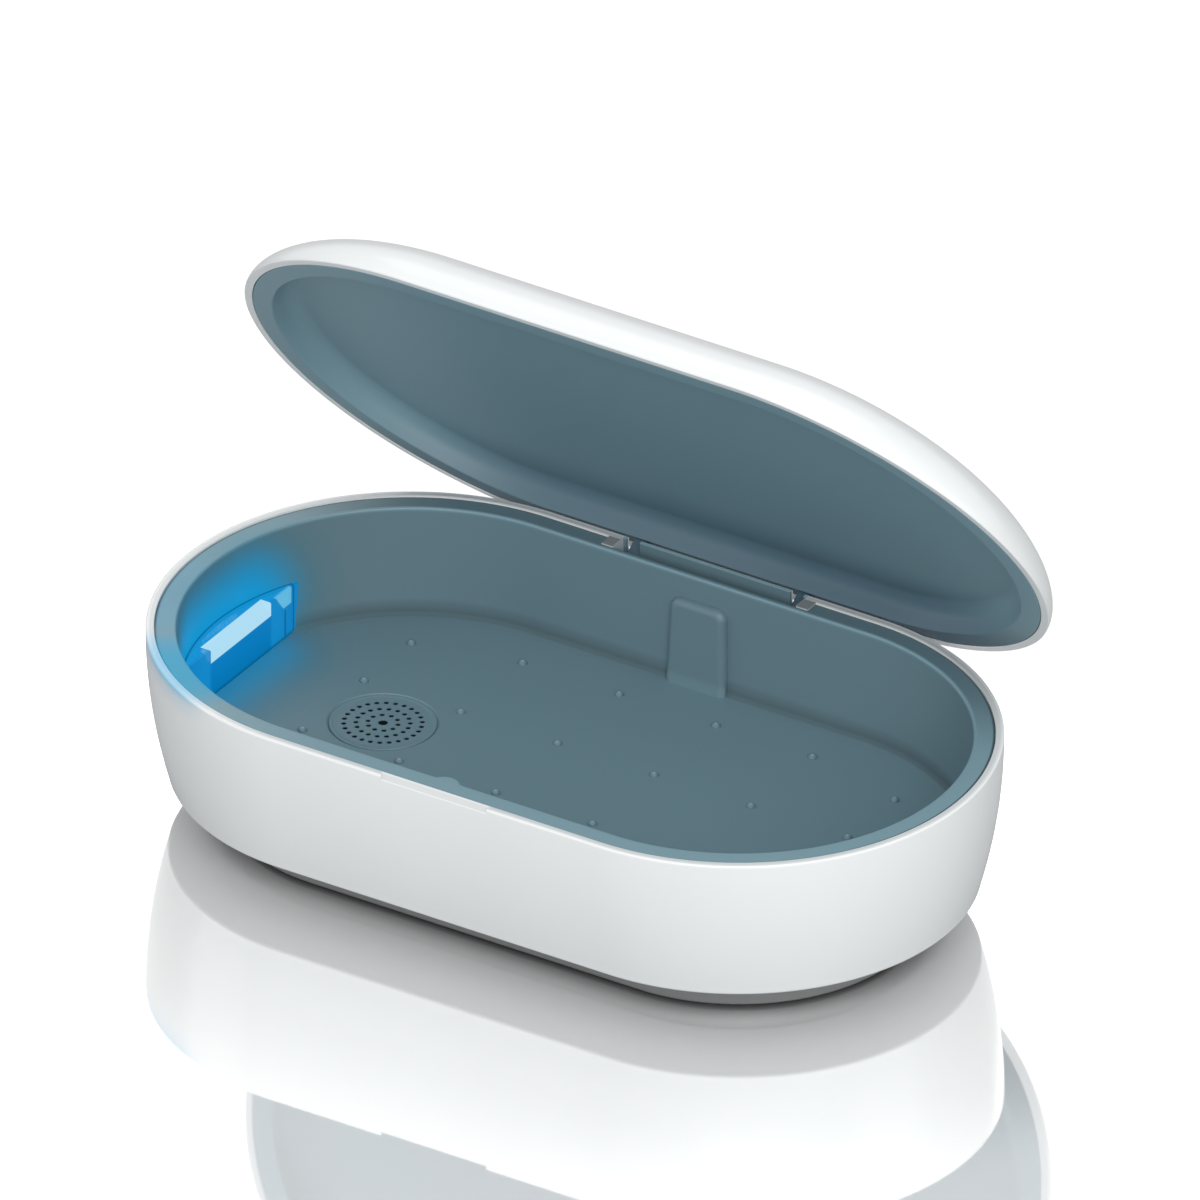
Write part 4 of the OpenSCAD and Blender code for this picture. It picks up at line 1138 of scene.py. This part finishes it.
base_wall = swept("base_wall", wall_outline(), base_plastic, closed=True)
tray_moulding = swept("tray_moulding", tray_outline(), tray_plastic)
lid_dome = swept("lid_dome", lid_outline(), white_plastic)
lid_lining = swept("lid_lining", liner_outline(), liner_plastic)


# %% [markdown]
# ## Cutting and joining
# The mouldings also have local features: a finger notch, a trough for the hinge,
# openings in the rear wall. On the real parts these are steel inserts in the mould.
# Here small closed solids stand for the inserts, and Boolean modifiers cut them
# out or join them on. Cutting by hand would leave no sizes to read afterwards.

# %% Small solids
def block(low, high):
    """A box between two corners, in millimetres."""
    work = bmesh.new()
    bmesh.ops.create_cube(work, size=1)
    size = Vector(high) - Vector(low)
    middle = (Vector(high) + Vector(low)) / 2
    for vertex in work.verts:
        vertex.co = Vector(a * b for a, b in zip(vertex.co, size)) + middle
    return solid(work)


def rod(start, end, radius, sides=64):
    """A round rod between two points, in millimetres."""
    work = bmesh.new()
    start = Vector(start)
    axis = Vector(end) - start
    turn = axis.to_track_quat("Z", "Y").to_matrix().to_4x4()
    place = Matrix.Translation(start + axis / 2) @ turn
    ends = {"radius1": radius, "radius2": radius, "depth": axis.length}
    bmesh.ops.create_cone(work, cap_ends=True, segments=sides, matrix=place, **ends)
    return solid(work)


def loft(rings):
    """A closed solid through rings of points with equal counts, in millimetres."""
    work = bmesh.new()
    loops = [[work.verts.new(point) for point in ring] for ring in rings]
    count = len(rings[0])
    for lower, upper in zip(loops, loops[1:]):
        for i in range(count):
            j = (i + 1) % count
            work.faces.new((lower[i], lower[j], upper[j], upper[i]))
    work.faces.new(loops[0][::-1])
    work.faces.new(loops[-1])
    return solid(work)


def solid(work):
    """Turns a work mesh in millimetres into an object in metres."""
    bmesh.ops.recalc_face_normals(work, faces=work.faces)
    bmesh.ops.scale(work, vec=(MM, MM, MM), verts=work.verts)
    mesh = bpy.data.meshes.new("tool")
    work.to_mesh(mesh)
    work.free()
    return new_piece("tool", mesh)


def carve(piece, tools, operation="DIFFERENCE"):
    """Cuts tools out of a piece, or joins them on, and removes them."""
    for tool in tools:
        modifier = piece.modifiers.new("carve", "BOOLEAN")
        modifier.operation = operation
        modifier.solver = "EXACT"
        modifier.object = tool
    plain_mesh(piece)
    for tool in tools:
        remove(tool)
    print(f"{piece.name} after {operation.lower()}: {len(piece.data.polygons)} faces")
    return piece


print("block, rod, loft and carve are ready")


# %% [markdown]
# ## Base wall
# The rim dips at the front, where a fingertip lifts the lid. At the back a trough
# holds the hinge pin between two end walls, and two gaps in the outer wall let the
# lid's arms swing through. Below it are the openings for the charging plug, the
# power button and its light. Each is one cutter, placed by the node that fills it.

# %% Base wall details
beyond = rim_radius + 1
drill_start = 50
arm_gap_floor = 42.4
trough_foot = trough_floor - 1.6
notch_slope = 1.2 / shell_wall
socket_low, socket_high = box_mm("charging_socket")
socket_z = (socket_low.z + socket_high.z) / 2
socket_half = (socket_high.x - socket_low.x - (socket_high.z - socket_low.z)) / 2
socket_room = 0.35
socket_radius = (socket_high.z - socket_low.z) / 2 + socket_room
plug_depth = 10
button_hole = 3.55
guide_hole = 1.15


def finger_notch():
    """A wedge that slopes down towards the outside of the front rim."""
    inner = -(strip_inner + 0.1)
    outer = -beyond
    drop = notch_slope * (beyond - strip_inner)
    left = -notch_half
    outline = [(left - 0.3, inner), (left + 1.4, outer), (notch_half, outer), (notch_half, inner)]
    floor_points = [(x, y, rim_z + 0.02 - (drop if y == outer else 0)) for x, y in outline]
    roof_points = [(x, y, rim_z + 1) for x, y in outline]
    return loft([floor_points, roof_points])


def plug_opening():
    """A flat opening with round ends, as a loft of two rounded outlines."""
    outline = arc(socket_half, socket_z, socket_radius, -90, 90, 16)
    outline += arc(-socket_half, socket_z, socket_radius, 90, 270, 16)
    return loft([[(x, y, z) for x, z in outline] for y in (rim_radius - plug_depth, beyond)])


def rear_hole(node, radius):
    """A round hole through the rear wall, centred on a node."""
    low, high = box_mm(node)
    middle = (low + high) / 2
    return rod((middle.x, drill_start, middle.z), (middle.x, beyond, middle.z), radius)


def arm_opening(left, right):
    room = arm_room
    return block((left - room, trough_back - 1, arm_gap_floor), (right + room, beyond, rim_z + 1))


end_x = trough_half + trough_end
trough_body = block((-end_x, trough_front, trough_foot), (end_x, trough_back + 0.2, rim_z - 0.02))
carve(base_wall, [trough_body], "UNION")
carve(
    base_wall,
    [
        block((-trough_half, trough_front - 1, trough_floor), (trough_half, trough_back, rim_z + 1)),
        arm_opening(-arm_outer, -arm_inner),
        arm_opening(arm_inner, arm_outer),
        finger_notch(),
        plug_opening(),
        rear_hole("power_button", button_hole),
        rear_hole("light_guide", guide_hole),
    ],
)


# %% [markdown]
# ## Tray
# The tray floor carries 24 small domes that hold the phone off the surface, so
# that the light reaches under it. They repeat, so a Geometry Nodes tree sets one
# ball on each point of a grid. A block stands out of the rear wall, and a half-round
# boss at the front hides the sensor that feels whether the lid is shut. These two
# follow the slope of the wall, so they are lofted through rings of points.

# %% Domes by Geometry Nodes
bump_pitch = 27.4
bump_columns = 6
bump_rows = 4
bump_shift = 6.5
bump_radius = 1.2
bump_height = 0.8
end_share = 0.45


def dome_tree():
    """A grid of points with its four corners drawn in, and a half-sunk flattened ball on each."""
    lengths = ("Pitch", "Corner Shift", "Dome Radius", "Dome Height", "Floor Height")
    counts = {"Columns": "Int", "Rows": "Int"}
    shape = ShapeTree("support_domes", counts | dict.fromkeys(lengths, "Float"))
    given = shape.given
    columns = given["Columns"]
    rows = given["Rows"]
    width = (columns - 1.0) * given["Pitch"]
    depth = (rows - 1.0) * given["Pitch"]
    sockets = {"Size X": width, "Size Y": depth, "Vertices X": columns, "Vertices Y": rows}
    grid = shape.node("GeometryNodeMeshGrid", {}, sockets)
    x = shape.node("ShaderNodeSeparateXYZ", {}, {0: shape.node("GeometryNodeInputPosition")})
    y = x.pick("Y")
    corner = (abs(x) > width * end_share) * (abs(y) > depth * end_share)
    shift = -1 * corner * y.math("SIGN", y) * given["Corner Shift"]
    sockets = {"Geometry": grid, "Offset": shape.point(y=shift, z=given["Floor Height"])}
    points = shape.node("GeometryNodeSetPosition", {}, sockets)
    ball = shape.node("GeometryNodeMeshUVSphere", {}, {"Segments": 28, "Rings": 20, "Radius": 1.0})
    size = shape.point(given["Dome Radius"], given["Dome Radius"], given["Dome Height"])
    sockets = {"Points": points, "Instance": ball, "Scale": size}
    return shape.end(shape.node("GeometryNodeInstanceOnPoints", {}, sockets))


dome_sizes = {
    "Pitch": bump_pitch * MM,
    "Columns": bump_columns,
    "Rows": bump_rows,
    "Corner Shift": bump_shift * MM,
    "Dome Radius": bump_radius * MM,
    "Dome Height": bump_height * MM,
    "Floor Height": tray_floor * MM,
    "Finish": tray_plastic,
}
domes = grown(new_piece("domes"), dome_tree(), dome_sizes)
print("domes:", bump_columns * bump_rows)

# %% Rear block
block_top = 43.5
block_foot_half = 8.5
block_top_half = 7.8
block_proud = 2.1
block_corner = 2.8
block_edge = 1.8
edge_steps = 8


def block_ring(inset, depth):
    """The front outline of the rear block, drawn in by inset, at a depth behind its face."""
    low = tray_floor - tray_plate / 2
    top = block_top - inset
    corner = block_corner - inset * 0.6
    half_low = block_foot_half - inset
    half_top = block_top_half - inset
    outline = [(-half_low, low), (half_low, low)]
    outline += arc(half_top - corner, top - corner, corner, 0, 90, 8)
    outline += arc(-half_top + corner, top - corner, corner, 90, 180, 8)
    foot = tray_foot - block_proud + depth
    return [(x, foot + draft_slope * (z - tray_floor), z) for x, z in outline]


block_rings = [block_ring(0, block_proud + tray_wall / 2)]
for i in range(edge_steps + 1):
    angle = math.pi / 2 * i / edge_steps
    inset = block_edge * (1 - math.cos(angle))
    block_rings.append(block_ring(inset, block_edge * (1 - math.sin(angle))))
print("rear block:", len(block_rings), "rings")

# %% Sensor boss, and joining
boss_radius = 3.8
boss_proud = 1.5
boss_y = -(tray_inner - boss_proud + boss_radius)


def boss_ring(z):
    """The part of the boss's circle that lies inside the middle of the sloping wall."""
    wall_y = -(tray_foot + draft_slope * (z - tray_floor) + tray_wall / 2)
    start = math.degrees(math.asin((wall_y - boss_y) / boss_radius))
    return [(x, y, z) for x, y in arc(0, boss_y, boss_radius, start, 180 - start, 40)]


boss = loft([boss_ring(tray_floor - tray_plate / 2), boss_ring(tray_top - 0.02)])
carve(tray_moulding, [loft(block_rings), boss, domes], "UNION")

# %% Openings of the tray
trough_room = 0.15
disc_room = 0.03
recess_width = 1.2


def disc_ring(radius, height):
    """A circle around the disc's centre, at a height over the tray floor."""
    return [(x, y, tray_floor + height) for x, y in arc(disc_x, 0, radius, 0, 360, 96)[:-1]]


room_x = trough_half + trough_end + trough_room
trough_opening = block((-room_x, trough_front - 0.1, trough_floor - 3), (room_x, beyond, rim_z + 1))
disc_hole = rod((disc_x, 0, tray_floor - 1.6), (disc_x, 0, tray_floor + 1), disc_radius + disc_room, 96)
recess = loft([disc_ring(disc_radius, -0.5), disc_ring(disc_radius + recess_width, 0.5)])
carve(tray_moulding, [trough_opening, disc_hole, recess])


# %% [markdown]
# ## Scent disc
# The disc is a thin round plate with a soft raised rim and 55 holes, in three rings
# around a larger one. Its body is turned from its outline, as on a lathe. The holes
# repeat, so a Geometry Nodes tree sets a punch at each place and cuts them all at
# once. A picture of holes would be quicker, but would look flat from the side.

# %% Plate of the disc
disc_soft = 0.2
rim_crest = disc_radius - 0.45


def disc_outline():
    """Plate with a soft raised rim."""
    top = disc_high.z
    rise = [(rim_crest - 0.9, disc_plate), (rim_crest - 0.6, disc_plate + 0.06)]
    return (
        [(0, disc_plate), *rise, (rim_crest - 0.3, top - 0.04), (rim_crest, top)]
        + arc(disc_radius - disc_soft, top - disc_soft, disc_soft, 90, 0, 3)
        + [(disc_radius, disc_low.z), (0, disc_low.z)]
    )


def turned(name, outline, finish, steps=128):
    """Turns an outline in millimetres around the Z axis, as on a lathe."""
    work = bmesh.new()
    corners = [work.verts.new((r * MM, 0, z * MM)) for r, z in outline]
    edges = [work.edges.new(pair) for pair in zip(corners, corners[1:])]
    circle = {"cent": (0, 0, 0), "axis": (0, 0, 1), "angle": 2 * math.pi, "steps": steps}
    bmesh.ops.spin(work, geom=corners + edges, **circle)
    piece = new_piece(name)
    work.to_mesh(piece.data)
    work.free()
    dress(piece, finish)
    return outward(piece)


scent_disc = turned("scent_disc", disc_outline(), disc_plastic)
scent_disc.data.transform(Matrix.Translation((disc_x * MM, 0, 0)))

# %% Holes of the disc
hole_radius = 0.65
middle_hole = 1.2
hole_rings = ((10, 3.7), (18, 6.5), (26, 9.4))
punch_length = 6


def perforate_tree():
    """Rings of round punches, each turned by half a step, cut out of a plate."""
    sockets = {"Hole Radius": "Float", "Middle Radius": "Float", "Depth": "Float", "Centre": "Vector"}
    for number in range(1, len(hole_rings) + 1):
        sockets |= {f"Ring {number} Holes": "Int", f"Ring {number} Radius": "Float"}
    shape = ShapeTree("perforate", sockets)
    given = shape.given

    def punch(radius, sides):
        sockets = {"Vertices": sides, "Radius": radius, "Depth": given["Depth"]}
        return shape.node("GeometryNodeMeshCylinder", {}, sockets)

    small = punch(given["Hole Radius"], 20)
    cutters = [punch(given["Middle Radius"], 40)]
    for number in range(1, len(hole_rings) + 1):
        count = given[f"Ring {number} Holes"]
        sockets = {"Vertices": count, "Radius": given[f"Ring {number} Radius"]}
        circle = shape.node("GeometryNodeMeshCircle", {}, sockets)
        sockets = {"Geometry": circle, "Rotation": shape.point(z=math.pi / count)}
        places = shape.node("GeometryNodeTransform", {}, sockets)
        sockets = {"Points": places, "Instance": small}
        cutters.append(shape.node("GeometryNodeInstanceOnPoints", {}, sockets))
    joined = shape.node("GeometryNodeJoinGeometry", {}, {0: cutters})
    real = shape.node("GeometryNodeRealizeInstances", {}, {0: joined})
    sockets = {"Geometry": real, "Translation": given["Centre"]}
    centred = shape.node("GeometryNodeTransform", {}, sockets)
    settings = {"operation": "DIFFERENCE", "solver": "EXACT"}
    sockets = {"Mesh 1": shape.geometry, "Mesh 2": centred}
    return shape.end(shape.node("GeometryNodeMeshBoolean", settings, sockets))


punches = {
    "Hole Radius": hole_radius * MM,
    "Middle Radius": middle_hole * MM,
    "Depth": punch_length * MM,
    "Centre": (disc_x * MM, 0, disc_high.z * MM),
    "Finish": disc_plastic,
}
for number, (count, radius) in enumerate(hole_rings, 1):
    punches[f"Ring {number} Holes"] = count
    punches[f"Ring {number} Radius"] = radius * MM
grown(scent_disc, perforate_tree(), punches)
print("holes:", 1 + sum(count for count, radius in hole_rings))


# %% [markdown]
# ## Lamp cover
# The cover is a thin clear L: a flat face and a top that reaches back to the tray
# wall. Its upper edge is round along the tube and square beyond its ends. It is
# trimmed to the inside of the tray by intersecting it with the tray's own cavity,
# and hollowed by the same shape, drawn in by its wall. Solidify could hollow it,
# but it would close the open back.

# %% Lamp cover
cover_half = 40
square_round = 0.4
cavity_gap = 0.15
cavity_height = 20


def cover_bar(inset, rounding, y_low, y_high):
    """A bar with the cover's section, from y_low to y_high."""
    face = -window_face - inset
    back = -(spine_half + rim_radius)
    top = window_high.z - inset
    outline = [(face, tray_floor - inset)]
    outline += arc(face - rounding, top - rounding, rounding, 0, 90, 14)
    outline += [(back, top), (back, tray_floor - inset)]
    return loft([[(x, y, z) for x, z in outline] for y in (y_low, y_high)])


def cover_block(inset):
    """The round-edged bar along the tube, with a square-edged one at each end."""
    near = lamp_half + inset
    spans = ((-cover_half, lamp_y - near), (lamp_y + near, cover_half))
    ends = [cover_bar(inset, square_round, *span) for span in spans]
    return carve(cover_bar(inset, window_round - inset, -cover_half, cover_half), ends, "UNION")


def cavity():
    """The space inside the tray, drawn in a little from its wall."""
    fillet_x = tray_foot - tray_fillet
    fillet = arc(fillet_x, tray_floor + tray_fillet, tray_fillet - cavity_gap, -90, -wall_lean, 7)
    top = tray_floor + cavity_height
    roof = [(tray_foot + draft_slope * cavity_height - cavity_gap, top), (0, top)]
    return swept("cavity", [(0, tray_floor), *fillet, *roof], cover_finish)


lamp_cover = cover_block(0)
lamp_cover.name = "lamp_cover"
carve(lamp_cover, [cavity()], "INTERSECT")
carve(lamp_cover, [cover_block(window_wall)])
dress(lamp_cover, cover_finish)


# %% [markdown]
# ## Lid
# Dome and lining are made closed, in their place over the base, because their
# sizes are easiest to read there. A round relief along the back, tapered at its
# ends, keeps the lid clear of the rim as it turns. Then both are turned about the
# hinge to where the lid rests, in their meshes, so that the objects stay unturned.

# %% Lid relief and opening
slot_room = 0.15


def relief():
    """A round bar along the pin that tapers off towards its ends."""
    taper = ((relief_half, relief_end), (spine_half, relief_radius))
    stations = [(-x, radius) for x, radius in taper] + list(reversed(taper))
    circles = [(x, arc(hinge_y, hinge_z, radius, 0, 360, 160)[:-1]) for x, radius in stations]
    return loft([[(x, y, z) for y, z in circle] for x, circle in circles])


def arm_slot(left, right):
    """The opening in the lining that one arm of the hinge passes through."""
    reach = arm_half_depth + slot_room
    low = (left - slot_room, hinge_y - reach, lid_plane - 1)
    return block(low, (right + slot_room, hinge_y + reach, lid_plane + liner_plate + 0.5))


carve(lid_dome, [relief()])
carve(lid_lining, [relief(), arm_slot(-arm_outer, -arm_inner), arm_slot(arm_inner, arm_outer)])
about_hinge = Matrix.Translation((0, hinge_y * MM, hinge_z * MM))
opened = about_hinge @ Matrix.Rotation(-open_angle, 4, "X") @ about_hinge.inverted()
for piece in (lid_dome, lid_lining):
    piece.data.transform(opened)
print("lid turned open by", round(math.degrees(open_angle), 1), "degrees")


# %% [markdown]
# ## Small pieces with soft edges
# The plinth, the hinge arms, the button and the charging socket have the right shape
# in the frame, but their edges are knife-sharp. Building them anew would gain
# nothing. A copy of each is merged, and a narrow bevel gives its edges the little
# highlight that a real edge has.

# %% Softened copies
flat_angle = math.radians(1)
edge_angle = math.radians(40)


def softened(name, node, finish, width_mm):
    """A bevelled copy of a CAD node."""
    piece = outward(new_piece(name, frame["nodes"][node].data.copy()))
    work = bmesh.new()
    work.from_mesh(piece.data)
    bmesh.ops.dissolve_limit(work, angle_limit=flat_angle, verts=work.verts, edges=work.edges)
    work.to_mesh(piece.data)
    work.free()
    bevel = piece.modifiers.new("bevel", "BEVEL")
    bevel.width = width_mm * MM
    bevel.segments = 3
    bevel.limit_method = "ANGLE"
    bevel.angle_limit = edge_angle
    plain_mesh(piece)
    dress(piece, finish)
    print(f"{name}: {len(piece.data.polygons)} faces after the bevel")
    return piece


plinth = softened("plinth", "bottom_cover", plinth_plastic, 0.3)
hinge_arms = softened("hinge_arms", "hinge_bracket", liner_plastic, 0.25)
button_cap = softened("button_cap", "power_button", button_plastic, 0.25)
charging_port = softened("charging_port", "charging_socket", socket_steel, 0.08)


# %% [markdown]
# ## Contacts of the charging socket
# A row of thin gilded contacts lies on the tongue inside the socket. They are all
# alike, so a small tree sets one block on each point of a line.

# %% Contact row
contact_count = 12
contact_pitch = 0.5
contact_size = Vector((0.26, 2.4, 0.08))
contact_depth = 2.1
contact_rise = 0.36


def contact_tree():
    """A row of flat contacts, one pitch apart."""
    vectors = dict.fromkeys(("Start", "Step", "Size"), "Vector")
    shape = ShapeTree("contact_row", {"Count": "Int", **vectors})
    given = shape.given
    sockets = {"Count": given["Count"], "Start Location": given["Start"], "Offset": given["Step"]}
    row = shape.node("GeometryNodeMeshLine", {"mode": "OFFSET"}, sockets)
    contact = shape.node("GeometryNodeMeshCube", {}, {"Size": given["Size"]})
    sockets = {"Points": row, "Instance": contact}
    return shape.end(shape.node("GeometryNodeInstanceOnPoints", {}, sockets))


row_half = contact_pitch * (contact_count - 1) / 2
row_start = Vector((-row_half, socket_high.y - contact_depth, socket_z + contact_rise))
contact_sizes = {
    "Count": contact_count,
    "Start": row_start * MM,
    "Step": Vector((contact_pitch * MM, 0, 0)),
    "Size": contact_size * MM,
    "Finish": contact_gold,
}
port_contacts = grown(new_piece("port_contacts"), contact_tree(), contact_sizes)
print("contacts:", contact_count)


# %% [markdown]
# ## Smooth shading
# Faces that meet at a small angle belong to one curved surface and are shaded as
# one. Faces that meet at a larger angle keep their edge. Weighted normals let the
# large faces decide, so flats stay flat right up to their rounded edges.

# %% Shading
smooth_angle = math.radians(32)


def smoothed(piece):
    piece.data.shade_smooth()
    piece.data.set_sharp_from_angle(angle=smooth_angle)
    weighted = piece.modifiers.new("weighted", "WEIGHTED_NORMAL")
    weighted.keep_sharp = True
    weighted.weight = 80
    plain_mesh(piece)
    piece.data.name = piece.name


print("edges sharper than", round(math.degrees(smooth_angle)), "degrees are kept")


# %% [markdown]
# ## What moves with what
# Each new piece is smoothed and rides on one body of the frame, and the CAD nodes that it
# stands for are hidden. The table also names a material slot for each piece, which the code
# does not use.

# %% Bodies, nodes and slots
places = (
    (base_wall, "base", "white_plastic", ["base_shell"]),
    (plinth, "base", "grey_plastic", ["bottom_cover"]),
    (tray_moulding, "base", "blue_grey_plastic", ["tray"]),
    (scent_disc, "base", "blue_grey_plastic", ["aroma_disc"]),
    (lamp_cover, "base", "clear_plastic", ["lamp_window"]),
    (charging_port, "base", "steel", ["charging_socket"]),
    (port_contacts, "base", "steel", []),
    (lid_dome, "lid", "white_plastic", ["lid_shell"]),
    (lid_lining, "lid", "blue_grey_plastic", ["lid_liner"]),
    (hinge_arms, "lid", "blue_grey_plastic", ["hinge_bracket"]),
    (button_cap, "button", "grey_plastic", ["power_button"]),
)
for piece, body, slot, replaced in places:
    smoothed(piece)
    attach(piece, body)
    if replaced:
        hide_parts(*replaced)
faces = [polygon for place in places for polygon in place[0].data.polygons]
print(len(places), "pieces,", sum(len(face.vertices) - 2 for face in faces), "triangles")


# %% [markdown]
# ## Finishes of the carried-over nodes
# The other nodes keep their CAD shape. Most are hidden inside, but a reader who
# opens the box should find each in its own material.

# %% Finishes of CAD nodes
screws = ("cover_screws", "board_screws", "bracket_screws")
node_finishes = (
    (silicone_finish, ("anti_slip_mat",)),
    (felt_finish, ("scent_pad",)),
    (tube_finish, ("uv_tube",)),
    (bright_sheet, ("lamp_reflector",)),
    (board_finish, ("main_board",)),
    (guide_finish, ("light_guide",)),
    (wire_finish, ("lamp_leads", "sensor_leads")),
    (black_plastic, ("lamp_driver", "board_chips", "button_switch", "lid_sensor")),
    (white_plastic, ("lamp_cap_front", "lamp_cap_rear", "indicator_light", "switch_plunger")),
    (plated_steel, (*screws, "hinge_pin", "hinge_washers", "lid_magnet")),
)
for finish, nodes in node_finishes:
    for node in nodes:
        dress(frame["nodes"][node], finish)
print(sum(len(nodes) for finish, nodes in node_finishes), "nodes painted")


# %% [markdown]
# Last, the view layer is brought up to date. The dressed model has to stay
# inside the box of the CAD model.


bpy.context.view_layer.update()
